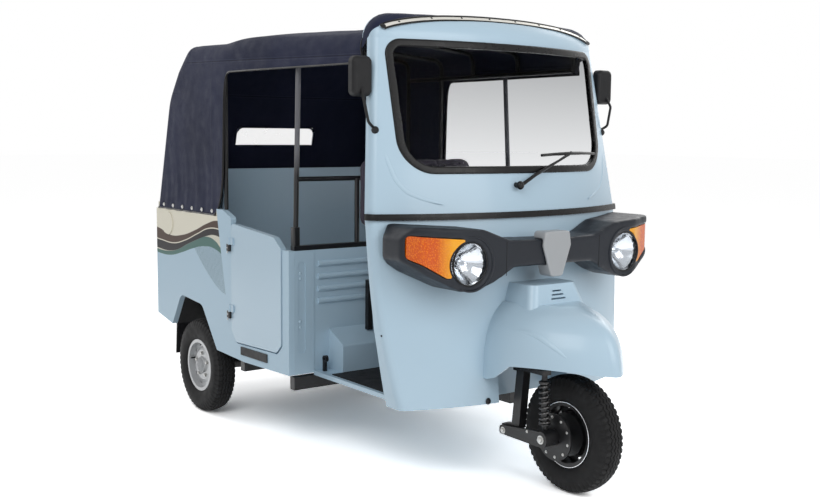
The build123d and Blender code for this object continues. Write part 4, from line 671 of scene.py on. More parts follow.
def superellipse(angle, corner):
    """X and Y of the outline |x|^n + |y|^n = 1 at each angle, n being corner."""
    reach = (np.abs(np.cos(angle)) ** corner + np.abs(np.sin(angle)) ** corner) ** (-1 / corner)
    return reach * np.cos(angle), reach * np.sin(angle)


def bolt(surface, place, axis, radius, height, washer=1.5):
    """Hexagon head on a round washer, standing on place along axis."""
    surface.grid(turned([(0, 0), (0, washer * radius), (0.15 * height, washer * radius),
                         (0.2 * height, 0.9 * radius)], place, axis, 16))
    surface.grid(turned([(0.15 * height, 0), (0.15 * height, radius), (0.9 * height, radius),
                         (height, 0.82 * radius), (height, 0)], place, axis, 6))


def dome(surface, place, axis, radius, height, sides=20):
    """Button: a quarter ellipse turned about axis on place."""
    swing = np.linspace(0, pi / 2, 6)
    rows = stack(height * np.sin(swing), radius * np.cos(swing))
    surface.grid(turned(np.concatenate(([(0, 0)], rows)), place, axis, sides))


TREES = {}


def hit(node, start, heading):
    """Where a ray from start first meets a CAD node, or None."""
    if node not in TREES:
        mesh = NODES[node].data
        TREES[node] = BVHTree.FromPolygons(read(mesh.vertices, "co").tolist(),
                                           [tuple(face.vertices) for face in mesh.polygons])
    place, *_ = TREES[node].ray_cast(Vector(start), Vector(heading))
    return place


def face_line(node, starts, heading, axis, limit):
    """One coordinate of where each ray meets a node; rays that miss or go past limit are bridged."""
    found = [hit(node, start, heading) for start in starts]
    good = [k for k, place in enumerate(found) if place is not None and place[axis] < limit]
    return np.interp(np.arange(len(found)), good, [found[k][axis] for k in good])


# Hood
# station, half width, height at the roof's side, height at its middle
HOOD_SECTIONS = np.array([
    (0.6503, 0.645, 1.930, 2.004), (1.050, 0.672, 1.940, 1.997), (1.450, 0.706, 1.961, 2.014),
    (1.680, 0.712, 1.961, 2.014), (1.880, 0.718, 1.936, 1.990), (2.080, 0.719, 1.952, 2.000),
    (2.640, 0.719, 1.935, 1.982)])
ROOF_REAR = 2.203
REAR_WALL = ((2.449, 1.687), (2.620, 1.075))
HEAD_Z = 1.797
HEM_Z = 1.075
OPENING_HEAD = 1.768
OPENING_LOW = (1.790, 1.150)
OPENING_FOOT = 1.866
OPENING_TURNS = (1.97, 2.00)
ROLL_RADIUS = 0.068
CLOTH_THICKNESS = 0.004
HEM_REAR = 2.564
REAR_WINDOW = (0.265, 1.420, 1.530)
WINDOW_CORNER = 0.046
WALL_ROWS = 62
ROLL_ROWS = 8
STUD_PITCH = 0.118
STUD_FIRST = 1.905
# Side folds: depth, pitch along the side, and how far and how often they bend on the way up
FOLDS = ((0.0013, 0.135, 1.3, 0.8), (0.0006, 0.061, 2.1, 0.55))
SCALLOP_DEPTH = 0.0026
CREASE_DEPTH = 0.0045
# Row of the grid whose length is the cloth's width
ACROSS_ROW = 120
# Rows of the cloth's grid: on the roof and its rear bend, then down the rear wall
ROOF_ROWS = 112
WALL_BANDS = (34, 10, 28)
# Stations where the sections end and where the rear bend begins, and its length along the cloth
SECTIONS_END = 2.2
BEND_START = 2.15
BEND_LENGTH = 0.25
REAR_SAG = 0.012
# Station behind which the cloth is the rear wall
REAR_FROM = 2.3
WINDOW_COLUMNS = 33
OUTER_COLUMNS = 19


def section(stations, column):
    """One column of the hood's sections at stations, with soft changes between them."""
    fine = np.linspace(0.6, 2.66, 1031)
    values = smoothed(np.interp(fine, HOOD_SECTIONS[:, 0], HOOD_SECTIONS[:, column]), 32)
    return np.interp(stations, fine, values)


def hood_spine():
    """Middle line: along the roof's crown, over the rear bend and down the rear wall to the hem."""
    roof = np.linspace(HOOD_SECTIONS[0, 0], ROOF_REAR, 60)
    line = np.concatenate((stack(roof, section(roof, 3)), REAR_WALL))
    steps = np.linalg.norm(np.diff(line, axis=0), axis=1)
    total = steps.sum()
    per_height = steps[-1] / (REAR_WALL[0][1] - REAR_WALL[1][1])
    _, window_low, window_high = REAR_WINDOW
    window = (total - (z - HEM_Z) * per_height for z in (window_high, window_low))
    turns = (total - steps[-2:].sum(), *window, total)
    marks = [np.linspace(0, turns[0], ROOF_ROWS)]
    for start, end, rows in zip(turns, turns[1:], WALL_BANDS):
        marks.append(np.linspace(start, end, rows)[1:])
    marks = np.concatenate(marks)
    return along_line(line, len(marks), 22, marks / total), marks


def mark_at(station, spine, marks):
    """Distance along the cloth at which the roof reaches a station."""
    return np.interp(station, spine[:ROOF_ROWS, 0], marks[:ROOF_ROWS])


def ripple(stations, heights):
    """How far the side cloth stands out.

    It is the sum of soft upright folds, scallops between the studs, a slack middle behind the
    opening, a waved fascia, and a crease along the eaves seam.
    """
    low = np.clip((1.80 - heights) / 0.72, 0, 1)
    folds = sum(depth * np.sin(tau * stations / pitch + bend * np.sin(tau * heights / rise))
                for depth, pitch, bend, rise in FOLDS)
    scallop = SCALLOP_DEPTH * np.abs(np.sin(pi * (stations - STUD_FIRST) / STUD_PITCH))
    scallop *= np.exp(-np.clip(heights - HEM_Z, 0, None) / 0.05) * (stations > OPENING_FOOT)
    slack = -0.004 * np.sin(pi * np.clip((stations - 1.82) / 0.30, 0, 1))
    fascia = 0.0016 * np.sin(tau * stations / 0.21 + 6 * heights) * np.clip((heights - 1.78) / 0.08, 0, 1)
    eaves = heights - EAVES_HEIGHT - EAVES_SLOPE * (stations - EAVES_STATION)
    return (folds + slack) * low + scallop + fascia - CREASE_DEPTH * np.exp(-(eaves / 0.012) ** 2)


def side_target(marks, spine):
    """Lower edge of the side cloth: along the opening's head, down behind it and along the hem."""
    knots = (marks[0], *mark_at((OPENING_HEAD, *OPENING_TURNS), spine, marks), marks[-1])
    stations = np.interp(marks, knots, (HOOD_SECTIONS[0, 0], OPENING_HEAD, OPENING_LOW[0], OPENING_FOOT,
                                        HEM_REAR))
    heights = np.interp(marks, knots, (HEAD_Z, HEAD_Z, OPENING_LOW[1], HEM_Z, HEM_Z))
    return smoothed(stack(stations, heights), 2)


def hood_points():
    """Hood as one grid: a wall, the roll over its top, the roof, the other roll and the other wall.

    Across the roof a row is a shallow parabola, each roll is a quarter circle from the roof's
    normal to sideways, and a wall runs straight from the roll's foot to its lower edge.
    """
    spine, marks = hood_spine()
    stations = np.minimum(spine[:, 0], SECTIONS_END)
    half = section(stations, 1)
    on_wall = np.clip((marks - mark_at(BEND_START, spine, marks)) / BEND_LENGTH, 0, 1)
    drop = (section(stations, 3) - section(stations, 2)) * (1 - on_wall) + REAR_SAG * on_wall
    heading = unit(np.gradient(spine, marks, axis=0))
    normal = stack(-heading[:, 1], heading[:, 0])
    roll = ROLL_RADIUS * (1 - 0.25 * on_wall)
    flat = half - roll
    window = REAR_WINDOW[0]
    inner = np.linspace(-window, window, WINDOW_COLUMNS)
    share = (np.linspace(window, 1, OUTER_COLUMNS)[1:] - window) / (1 - window)
    reach = window + share[None, :] * (flat[:, None] - window)
    across = np.concatenate((-reach[:, ::-1], np.broadcast_to(inner, (len(spine), WINDOW_COLUMNS)), reach),
                            axis=1)
    aside = (across / flat[:, None]) ** 2
    slack = np.sin(tau * (spine[:, :1] - 1.05) / 0.46) ** 2 * 0.004 * (1 - on_wall[:, None])
    wave = 0.0025 * np.sin(tau * across / 0.31 + 9 * spine[:, 1:]) * on_wall[:, None]
    sink = drop[:, None] * aside + slack * (1 - aside) - wave
    roof = stack(across, spine[:, :1] - normal[:, :1] * sink, spine[:, 1:] - normal[:, 1:] * sink)
    swing = np.linspace(0, pi / 2, ROLL_ROWS)[1:]
    edge = spine - normal * drop[:, None]
    fall = roll[:, None] * (1 - np.cos(swing))
    rolled = stack(flat[:, None] + roll[:, None] * np.sin(swing),
                   edge[:, :1] - normal[:, :1] * fall, edge[:, 1:] - normal[:, 1:] * fall)
    target = side_target(marks, spine)
    start = edge - normal * roll[:, None]
    step = np.linspace(0, 1, WALL_ROWS)[1:]
    wall = start[:, None] + step[None, :, None] * (target - start)[:, None]
    out = half[:, None] + ripple(wall[..., 0], wall[..., 1]) * np.minimum(1, 6 * step[None, :])
    right = np.concatenate((rolled, stack(out, wall[..., 0], wall[..., 1])), axis=1)
    left = right[:, ::-1] * (-1, 1, 1)
    points = np.concatenate((left, roof, right), axis=1)
    points[..., 1] += FRONT_AXLE.y
    points[..., 2] = np.maximum(points[..., 2], HEM_Z)
    return points, marks


def map_weave(mesh, uv):
    """UV map in metres for the weave, given at every corner of every face."""
    mesh.uv_layers.new(name="weave").data.foreach_set("uv", uv.reshape(-1))


def make_hood():
    """The hood's cloth with its rear window cut out and a weave map in metres, and its bound edges."""
    points, marks = hood_points()
    rows, columns = points.shape[:2]
    x, y, z = np.moveaxis((points[:-1, :-1] + points[1:, 1:]) / 2, -1, 0)
    half, low, high = REAR_WINDOW
    in_corner = np.hypot(np.maximum(np.abs(x) - (half - WINDOW_CORNER), 0),
                         np.maximum(z - (high - WINDOW_CORNER), 0)) < WINDOW_CORNER
    keep = ~((np.abs(x) < half) & (z > low) & (z < high) & (y > at(REAR_FROM)) & in_corner)
    index = np.arange(rows * columns).reshape(rows, columns)
    quads = np.stack((index[:-1, :-1], index[:-1, 1:], index[1:, 1:], index[1:, :-1]), axis=-1)
    faces = quads[keep]
    mesh = bpy.data.meshes.new("hood_cloth")
    mesh.from_pydata(points.reshape(-1, 3).tolist(), [], faces.tolist())
    column = np.nonzero(keep)[1]
    on_side = (column < WALL_ROWS) | (column >= columns - 1 - WALL_ROWS)
    map_weave(mesh, np.where(on_side[:, None, None], points[..., 1:].reshape(-1, 2)[faces],
                             stack(marks[:, None], points[..., 0]).reshape(-1, 2)[faces]))
    mesh.shade_smooth()
    mesh.materials.append(FINISHES["hood_canvas"])
    hood = placed("hood_cloth", mesh)
    wall = hood.modifiers.new("thickness", "SOLIDIFY")
    wall.thickness = CLOTH_THICKNESS
    wall.offset = -1
    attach(hood, "body")
    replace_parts(hood, "canopy")
    binding = Surface()
    for side in (1, -1):
        edge = points[:, -1] * (side, 1, 1) - (side * CLOTH_THICKNESS / 2, 0, 0)
        binding.grid(piped(edge, 0.0052, 8, (1.0, 0.02, 0.01)))
    binding.grid(piped(points[-1] - (0, 0.001, 0), 0.0050, 8, (0.01, 0.0, 1.0)))
    binding.grid(piped(points[0] + (0, 0.004, 0), 0.0050, 8, (0.01, 1.0, 0.0)))
    return hood, binding.make("hood_binding", "seal_rubber", "body", "black_trim"), points


def window_frame(points):
    """Rear window's welt: a flat ring round the opening, rounded at its two upper corners."""
    half, low, high = REAR_WINDOW
    swing = np.linspace(0, pi / 2, 7)
    shoulder = high - WINDOW_CORNER
    right = stack(half - WINDOW_CORNER + WINDOW_CORNER * np.cos(swing),
                  shoulder + WINDOW_CORNER * np.sin(swing))
    left = right[::-1] * (-1, 1)
    outline = np.concatenate((np.linspace((-half, low), (half, low), 24)[:-1],
                              np.linspace((half, low), (half, shoulder), 6)[:-1], right,
                              np.linspace(right[-1], left[0], 22)[1:-1], left,
                              np.linspace((-half, shoulder), (-half, low), 6)[1:-1]))
    column = points[:, points.shape[1] // 2]
    wall = column[column[:, 1] > at(REAR_FROM)][::-1]
    y = np.interp(outline[:, 1], wall[:, 2], wall[:, 1])
    ring = looped(stack(outline[:, 0], y - 0.0005, outline[:, 1]), 0.0065, 8, (0.0, 1.0, 0.2))
    return Surface().grid(ring).make("rear_window_welt", "hood_canvas", "body", "canvas")


# Turn buttons: how far out the side ones stand, and how far above the hem each row is
SIDE_BUTTON_X = 0.7205
SIDE_BUTTON_UP = 0.020
REAR_BUTTON_UP = 0.024


def hem_studs(points):
    """Turn buttons along the hem: an oval plate and a domed knob, on both sides and across the rear."""
    studs = Surface()
    for side in (1, -1):
        for station in np.arange(STUD_FIRST, 2.60, STUD_PITCH):
            place = np.array((side * SIDE_BUTTON_X, at(station), HEM_Z + SIDE_BUTTON_UP))
            studs.grid(turned([(0, 0), (0, 0.011), (0.0015, 0.0105), (0.002, 0.006)], place,
                              (side, 0, 0), 16))
            dome(studs, place + (side * 0.0015, 0, 0), (side, 0, 0), 0.0065, 0.006, 14)
    y = points[-4, points.shape[1] // 2, 1] + 0.002
    for x in np.linspace(-0.60, 0.60, 9):
        dome(studs, (x, y, HEM_Z + REAR_BUTTON_UP), (0, 1, 0.27), 0.0085, 0.007, 14)
    return studs.make("hem_studs", "zinc_bolts", "body", "black_steel")


def line_length(points):
    """Length of a line of points."""
    return float(np.linalg.norm(np.diff(points, axis=0), axis=1).sum())


def grid_area(points):
    """Area of a grid's cells in square metres."""
    first = points[1:, 1:] - points[:-1, :-1]
    second = points[1:, :-1] - points[:-1, 1:]
    return float(np.linalg.norm(np.cross(first, second), axis=-1).sum() / 2)


# Front lap: the height it is turned about, and how far round it goes to each side
LAP_HEART = 1.50
LAP_REACH = radians(61)
# Half of the clamp strip: distance from the middle, Y
STRIP_LINE = np.array([(0.0, -0.690), (0.25, -0.680), (0.43, -0.658), (0.52, -0.643), (0.600, -0.624)])
STRIP_HALF = STRIP_LINE[-1, 0]


def strip_path():
    """Line of the clamp strip over the header: a bowed line in plan dropped onto the cab."""
    across = np.linspace(-STRIP_HALF, STRIP_HALF, 81)
    ahead = smoothed(np.interp(np.abs(across), STRIP_LINE[:, 0], STRIP_LINE[:, 1]), 4)
    return stack(across, ahead, face_line("cab_shell", stack(across, ahead, 2.3), (0, 0, -1), 2, 2.3))


def header_lap(edge_row):
    """Front of the hood drawn over the cab's header to the clamp strip.

    In each plane across the vehicle it is given by its distance from the point (0, LAP_HEART):
    the cab's own distance, found by rays, plus the cloth. Its rear row is the hood's front edge.
    """
    strip = strip_path()
    angle = np.linspace(-LAP_REACH, LAP_REACH, 61)
    at_strip = np.arctan2(strip[:, 0], strip[:, 2] - LAP_HEART)
    beyond = np.clip((np.abs(angle) - at_strip[-1]) / (LAP_REACH - at_strip[-1]), 0, 1)
    rear = float(edge_row[0, 1]) + 0.002
    ahead = np.interp(angle, at_strip, strip[:, 1]) * (1 - beyond) + (rear - 0.012) * beyond
    y = ahead[:, None] + (rear - ahead[:, None]) * np.linspace(0, 1, 7)
    edge_angle = np.arctan2(edge_row[:, 0], edge_row[:, 2] - LAP_HEART)
    edge = np.interp(angle, edge_angle, np.hypot(edge_row[:, 0], edge_row[:, 2] - LAP_HEART))
    out = np.broadcast_to(edge[:, None], y.shape).copy()
    for index in np.ndindex(y.shape):
        x, z = sin(angle[index[0]]), cos(angle[index[0]])
        found = hit("cab_shell", (1.4 * x, y[index], LAP_HEART + 1.4 * z), (-x, 0.0, -z))
        if found is not None and found.z > LAP_HEART:
            out[index] = np.hypot(found.x, found.z - LAP_HEART)
    out[:, -1] = edge
    rim = np.concatenate((out + 0.0034, out[:, ::-1] + 0.0008), axis=1)
    y = np.concatenate((y, y[:, ::-1]), axis=1)
    rings = stack(rim * np.sin(angle)[:, None], y, LAP_HEART + rim * np.cos(angle)[:, None])
    ends = rings.mean(axis=1, keepdims=True) + np.zeros_like(rings)
    lap = Surface().grid(np.concatenate((ends[:1], rings, ends[-1:])))
    piece = lap.make("hood_front_lap", "hood_canvas", "body", "canvas")
    corners = read(piece.data.loops, "vertex_index", int, 1).reshape(-1)
    map_weave(piece.data, read(piece.data.vertices, "co")[corners][:, :2])
    return piece


hood, hood_trim, hood_grid = make_hood()
rear_welt = window_frame(hood_grid)
studs = hem_studs(hood_grid)
front_lap = header_lap(hood_grid[0])
across_length = line_length(hood_grid[ACROSS_ROW])
spine_length = line_length(hood_grid[:, hood_grid.shape[1] // 2])
hood_area = grid_area(hood_grid) - 2 * REAR_WINDOW[0] * (REAR_WINDOW[2] - REAR_WINDOW[1])


# Cushions
# Frames of the cloth simulation
FRAMES = 20


def cushion_points(half, edge, crown, rows=48, columns=96, corner=7.0):
    """Closed pad: a rounded rectangle in plan whose size and height follow a rounded profile.

    Plan radius is the superellipse |x|^n + |y|^n = 1, and the profile is a superellipse of
    exponent 4 from the bottom's middle out over the side to the top's middle, plus a crown.
    """
    plan_x, plan_y = superellipse(full_turn(columns), corner)
    swing = np.linspace(-pi / 2, pi / 2, rows)[:, None]
    wide = np.abs(np.cos(swing)) ** 0.34
    high = np.sign(np.sin(swing)) * np.abs(np.sin(swing)) ** 0.5
    x = half[0] * (1 - edge) * wide * plan_x
    y = half[1] * (1 - edge) * wide * plan_y
    lift = crown * np.clip(1 - (x / half[0]) ** 2, 0, 1) * np.clip(1 - (y / half[1]) ** 2, 0, 1)
    return stack(x, y, half[2] * high + np.where(swing > 0, lift, 0))


def voxels(piece, size):
    """Modifier that builds a piece anew from cubes."""
    remesh = piece.modifiers.new("voxels", "REMESH")
    remesh.mode = "VOXEL"
    remesh.voxel_size = size


def puff(piece, voxel, cap, pressure=4.0):
    """Cloth recipe: remesh, then swell under pressure with movement capped."""
    voxels(piece, voxel)
    bake(piece)
    before = read(piece.data.vertices, "co")
    cloth = piece.modifiers.new("cloth", "CLOTH")
    cloth.settings.use_pressure = True
    cloth.settings.uniform_pressure_force = pressure
    cloth.settings.effector_weights.gravity = 0
    cloth.settings.quality = 5
    cloth.point_cache.frame_start = 1
    cloth.point_cache.frame_end = FRAMES
    for step in range(1, FRAMES + 1):
        bpy.context.scene.frame_set(step)
    bake(piece)
    moved = read(piece.data.vertices, "co") - before
    far = np.linalg.norm(moved, axis=1, keepdims=True)
    moved *= np.minimum(1, cap / np.maximum(far, 1e-9))
    piece.data.vertices.foreach_set("co", (before + moved).reshape(-1))
    bpy.context.scene.frame_set(1)


def bake(piece):
    """Puts a piece's modifiers into its mesh."""
    graph = bpy.context.evaluated_depsgraph_get()
    mesh = bpy.data.meshes.new_from_object(piece.evaluated_get(graph))
    piece.modifiers.clear()
    piece.data = mesh


def settle(piece, low, high, seams, groove=0.004, width=0.007):
    """Fits a pad to its box and sinks sewn seams, given as (axis, place) planes through its cover."""
    mesh = piece.data
    points = read(mesh.vertices, "co")
    normals = read(mesh.vertices, "normal")
    now_low, now_high = points.min(axis=0), points.max(axis=0)
    points = low + (points - now_low) * (high - low) / (now_high - now_low)
    sink = np.zeros(len(points))
    for axis, place in seams:
        sink = np.maximum(sink, np.exp(-((points[:, axis] - place) / width) ** 2))
    points -= normals * (groove * sink)[:, None]
    mesh.vertices.foreach_set("co", points.reshape(-1))
    mesh.update()
    mesh.shade_smooth()
    return points


def piping(surface, points, axis, place, centre, radius=0.0045, samples=160):
    """Welt round a pad: a ring through the outermost points near the plane axis = place."""
    others = [k for k in range(3) if k != axis]
    near = points[np.abs(points[:, axis] - place) < 0.008][:, others] - centre[others]
    angle = np.arctan2(near[:, 1], near[:, 0])
    far = np.hypot(near[:, 0], near[:, 1])
    order = np.argsort(angle)
    wanted = np.linspace(-pi, pi, samples, endpoint=False)
    reach = np.interp(wanted, angle[order], far[order], period=tau)
    path = np.empty((samples, 3))
    path[:, axis] = place
    path[:, others] = centre[others] + stack(reach * np.cos(wanted), reach * np.sin(wanted))
    upright = [0.001, 0.001, 0.001]
    upright[axis] = 1.0
    surface.grid(looped(path, radius, 8, upright))


def make_pad(name, low, high, axis, seams, welts, voxel, cap, crown):
    """A stuffed pad in its box; axis is the direction that its face looks, 1 for a back, 2 for a seat."""
    low, high = np.array(low), np.array(high)
    centre = (low + high) / 2
    half = (high - low) / 2
    if axis == 2:
        points = cushion_points(half, 0.02, crown)
    else:
        x, y, z = np.moveaxis(cushion_points(half[[0, 2, 1]], 0.02, crown), -1, 0)
        points = stack(x, -z, y)
    piece = Surface().grid(points + centre).make(name, "seat_vinyl", "body", "seat_vinyl")
    puff(piece, voxel, cap)
    finer = piece.modifiers.new("finer", "SUBSURF")
    finer.levels = 1
    finer.render_levels = 1
    bake(piece)
    shape = settle(piece, low, high, seams)
    ring = Surface()
    for place in welts:
        piping(ring, shape, axis, place, centre)
    ring.make(name + "_piping", "seat_vinyl", "body", "seat_vinyl")
    return piece


def make_seats():
    """Driver's seat and back, and the passengers' bench."""
    driver_seams = [(0, -0.112), (0, 0.112)]
    squab = make_pad("driver_squab", (-0.335, at(0.722), 0.8005), (0.335, at(1.068), 0.884), 2,
                     driver_seams, (0.868, 0.812), voxel=0.008, cap=0.024, crown=0.012)
    make_pad("driver_backrest", (-0.335, at(1.0705), 1.055), (0.335, at(1.1435), 1.378), 1,
             driver_seams, (at(1.084), at(1.132)), voxel=0.008, cap=0.024, crown=0.010)
    bench = make_pad("bench_squab", (-0.655, at(1.8005), 0.6435), (0.655, at(2.179), 0.806), 2,
                     [(0, -0.218), (0, 0.218), (1, at(1.93))], (0.780, 0.662),
                     voxel=0.011, cap=0.028, crown=0.014)
    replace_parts(squab, "driver_seat")
    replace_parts(bench, "bench_cushion")


make_seats()


# Wheels: body that turns, name of its tyre, CAD tyre, and the way that its outer face looks
WHEELS = (("front_wheel", "front_tyre", "tyre_front", 1),
          ("rear_wheel_right", "rear_tyre_right", "tyre_rear_right", -1),
          ("rear_wheel_left", "rear_tyre_left", "tyre_rear_left", 1))
TYRE_RADIUS = 0.250
BEAD_RADIUS = 0.127
TYRE_HALF = 0.059
TREAD_HALF = 0.047
TREAD_DEPTH = 0.006
PITCHES = 54
AROUND = 432
# Where the tread's grooves run across it, and how far each zigzags
GROOVES = (-0.0265, -0.0088, 0.0088, 0.0265)
ZIGZAG = 0.0042
NUT_CIRCLE = 0.063
DISC_FACE = 0.026
HUB_FACE = 0.038
FLANGE = (0.046, 0.1385)


def groove_depth(place, middle_line, half_width):
    """1 inside a groove and 0 outside, with 0.8 mm flanks."""
    return np.clip((half_width + 0.0004 - np.abs(place - middle_line)) / 0.0008, 0, 1)


def tyre_section():
    """Distances from the middle and radii round a tyre's section.

    The tread is a shallow parabola, and each wall a superellipse between tread and bead.
    """
    across = np.linspace(-TREAD_HALF, TREAD_HALF, 79)
    crown = TYRE_RADIUS - 0.010 * (across / TREAD_HALF) ** 2
    angle = np.linspace(np.arccos(TREAD_HALF / TYRE_HALF), -pi / 2, 15)[1:]
    wall_x = np.append(TYRE_HALF * np.abs(np.cos(angle[:-1])) ** 0.75, 0.040)
    wall_r = ((TYRE_RADIUS + BEAD_RADIUS) / 2 + (TYRE_RADIUS - BEAD_RADIUS) / 2
              * np.sign(np.sin(angle)) * np.abs(np.sin(angle)) ** 0.9)
    return (np.concatenate((-wall_x[::-1], across, wall_x)),
            np.concatenate((wall_r[::-1], crown, wall_r)))


def make_tyre(body, name, node):
    """Tyre of one wheel, standing in for its smooth CAD solid.

    Its section is carried round the axle and cut by zigzag grooves and slots in the shoulders.
    A groove's middle line is a triangle wave round the tyre, and a slot is a wedge at each pitch.
    """
    centre = middle(node)
    turn = full_turn(AROUND)[:, None]
    x, r = tyre_section()
    pitch = turn * PITCHES / tau % 1
    wave = ZIGZAG * (2 * np.abs(2 * pitch - 1) - 1)
    cut = np.max([groove_depth(x, line + wave, 0.0016) for line in GROOVES], axis=0)
    shoulder = np.clip((np.abs(x) - 0.0335) / 0.004, 0, 1) * (np.abs(x) < 0.0565)
    slot = np.clip((0.16 - np.abs(pitch - 0.5)) / 0.05, 0, 1) * shoulder
    radius = r - TREAD_DEPTH * np.maximum(cut, slot) * (r > 0.205)
    rib = 0.0010 * np.exp(-((r - 0.196) / 0.002) ** 2) + 0.0012 * np.exp(-((r - 0.150) / 0.003) ** 2)
    points = stack(x + np.sign(x) * rib + centre[0], centre[1] + radius * np.cos(turn),
                   centre[2] + radius * np.sin(turn))
    shape = Surface().grid(np.concatenate((points, points[:1])))
    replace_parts(shape.make(name, "tyre_rubber", body, "tyre_rubber"), node)


def wheel_fittings(body, node, outward):
    """Nuts on a circle round a domed hub cap, a valve, and, on the front wheel, a bright ring on the inner
    flange.
    """
    centre = np.array(middle(node))
    axis = (outward, 0, 0)
    nuts = Surface()
    for angle in np.arange(5) * tau / 5 + 0.3:
        place = centre + (outward * DISC_FACE, NUT_CIRCLE * cos(angle), NUT_CIRCLE * sin(angle))
        bolt(nuts, place, axis, 0.0095, 0.011, 1.25)
    nuts.make(body + "_nuts", "zinc_bolts", body, "black_steel")
    cap = turned([(0, 0), (0, 0.041), (0.004, 0.040), (0.006, 0.034), (0.0085, 0.024), (0.0095, 0)],
                 centre + (outward * (HUB_FACE - 0.0035), 0, 0), axis, 32)
    Surface().grid(cap).make(body + "_hub_cap", "engine_castings", body, "black_steel")
    foot = centre + (outward * 0.012, 0.108, 0.020)
    valve = piped([foot, foot + (outward * 0.024, -0.004, 0), foot + (outward * 0.032, -0.005, 0)],
                  [0.004, 0.004, 0.0028], 10)
    Surface().grid(valve).make(body + "_valve", "black_plastic", body, "black_plastic")
    if body == "front_wheel":
        turn = full_turn(96)
        path = stack(centre[0] - outward * (FLANGE[0] + 0.0005), centre[1] + FLANGE[1] * np.cos(turn),
                     centre[2] + FLANGE[1] * np.sin(turn))
        ring = Surface().grid(looped(path, 0.0020, 8, (1.0, 0.0, 0.0)))
        ring.make("front_rim_edge", "chrome", body, "silver_rim")


for body, tyre, node, outward in WHEELS:
    make_tyre(body, tyre, node)
for body, tyre, node, outward in WHEELS:
    wheel_fittings(body, node, outward)


# Front suspension
SHOCK_X = middle("front_shock").x
SHOCK_LOW, SHOCK_HIGH = (at(0.014), 0.284), (at(0.022), 0.515)
COIL_TURNS = 8.5
COIL_RADIUS = 0.0205
COIL_WIRE = 0.0044
LINK_PIVOT = (0.232, 0.238)
PLATE_SCREWS = 10
PLATE_CIRCLE = 0.084
CUP_RADIUS = 0.0245


def make_shock():
    """Coil spring, a helix whose end turns lie flat on their cups, round a damper with two eyes."""
    foot = np.array((SHOCK_X, *SHOCK_LOW))
    head = np.array((SHOCK_X, *SHOCK_HIGH))
    axis = unit(head - foot)
    length = float(np.linalg.norm(head - foot))
    turn = np.linspace(0, COIL_TURNS * tau, 260)[:, None]
    share = turn / turn[-1]
    rise = 0.030 + (length - 0.062) * np.interp(share, (0, 0.08, 0.92, 1), (0, 0.03, 0.97, 1))
    aside = unit(np.cross(axis, (1.0, 0.0, 0.0)))
    above = np.cross(axis, aside)
    path = foot + rise * axis + COIL_RADIUS * (np.cos(turn) * aside + np.sin(turn) * above)
    coil = Surface().grid(piped(path, COIL_WIRE, 8, tuple(axis)))
    spring = coil.make("front_spring", "spring_black", "steering", "black_steel")
    rod = [(0.001, 0), (0.001, 0.010), (0.018, 0.012), (0.022, CUP_RADIUS), (0.0262, CUP_RADIUS),
           (0.0262, 0.0135), (0.130, 0.0135), (0.134, 0.008), (length - 0.034, 0.008),
           (length - 0.032, CUP_RADIUS), (length - 0.027, CUP_RADIUS), (length - 0.022, 0.013),
           (length - 0.001, 0.011), (length - 0.001, 0)]
    damper = Surface().grid(turned(rod, foot, axis, 28))
    damper.make("front_damper", "black_steel", "steering", "black_steel")
    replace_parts(spring, "front_shock")


def link_bolt(surface, y, z, radius, height):
    """Bolt on the front link's outer face, standing against a ray from the right."""
    bolt(surface, np.array(hit("front_link", (-0.6, y, z), (1, 0, 0))), (-1, 0, 0), radius, height)


def fork_fittings():
    """Axle nut, link pivot nut, and the ring of small screws in the brake plate."""
    nuts = Surface()
    link_bolt(nuts, FRONT_AXLE.y, FRONT_AXLE.z, 0.0125, 0.011)
    link_bolt(nuts, at(LINK_PIVOT[0]), LINK_PIVOT[1], 0.010, 0.009)
    nuts.make("front_axle_nuts", "zinc_bolts", "steering", "black_steel")
    screws = Surface()
    for angle in np.arange(PLATE_SCREWS) * tau / PLATE_SCREWS + 0.2:
        link_bolt(screws, FRONT_AXLE.y + PLATE_CIRCLE * cos(angle),
                  FRONT_AXLE.z + PLATE_CIRCLE * sin(angle), 0.0042, 0.004)
    screws.make("brake_plate_screws", "zinc_bolts", "steering", "black_steel")


make_shock()
fork_fittings()


# Lamps
LAMP_X, LAMP_Y, LAMP_Z = 0.453, at(0.151), 0.982
BOWL_RADIUS = 0.0868
BOWL_DEPTH = 0.058
PETALS = 22
RING_RADIUS = 0.0885
BEZEL_RADIUS = 0.110


def softened(node, name, finish, voxel, rounds):
    """Copy of a hard-edged moulding, remeshed in cubes and smoothed so that its edges are round."""
    mesh = NODES[node].data.copy()
    work = bmesh.new()
    work.from_mesh(mesh)
    bmesh.ops.remove_doubles(work, verts=work.verts, dist=WELD)
    work.to_mesh(mesh)
    work.free()
    mesh.materials.clear()
    piece = placed(name, mesh)
    voxels(piece, voxel)
    smooth = piece.modifiers.new("round", "SMOOTH")
    smooth.factor = 0.5
    smooth.iterations = rounds
    bake(piece)
    piece.data.materials.clear()
    piece.data.materials.append(FINISHES[finish])
    piece.data.shade_smooth()
    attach(piece, "body")
    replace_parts(piece, node)


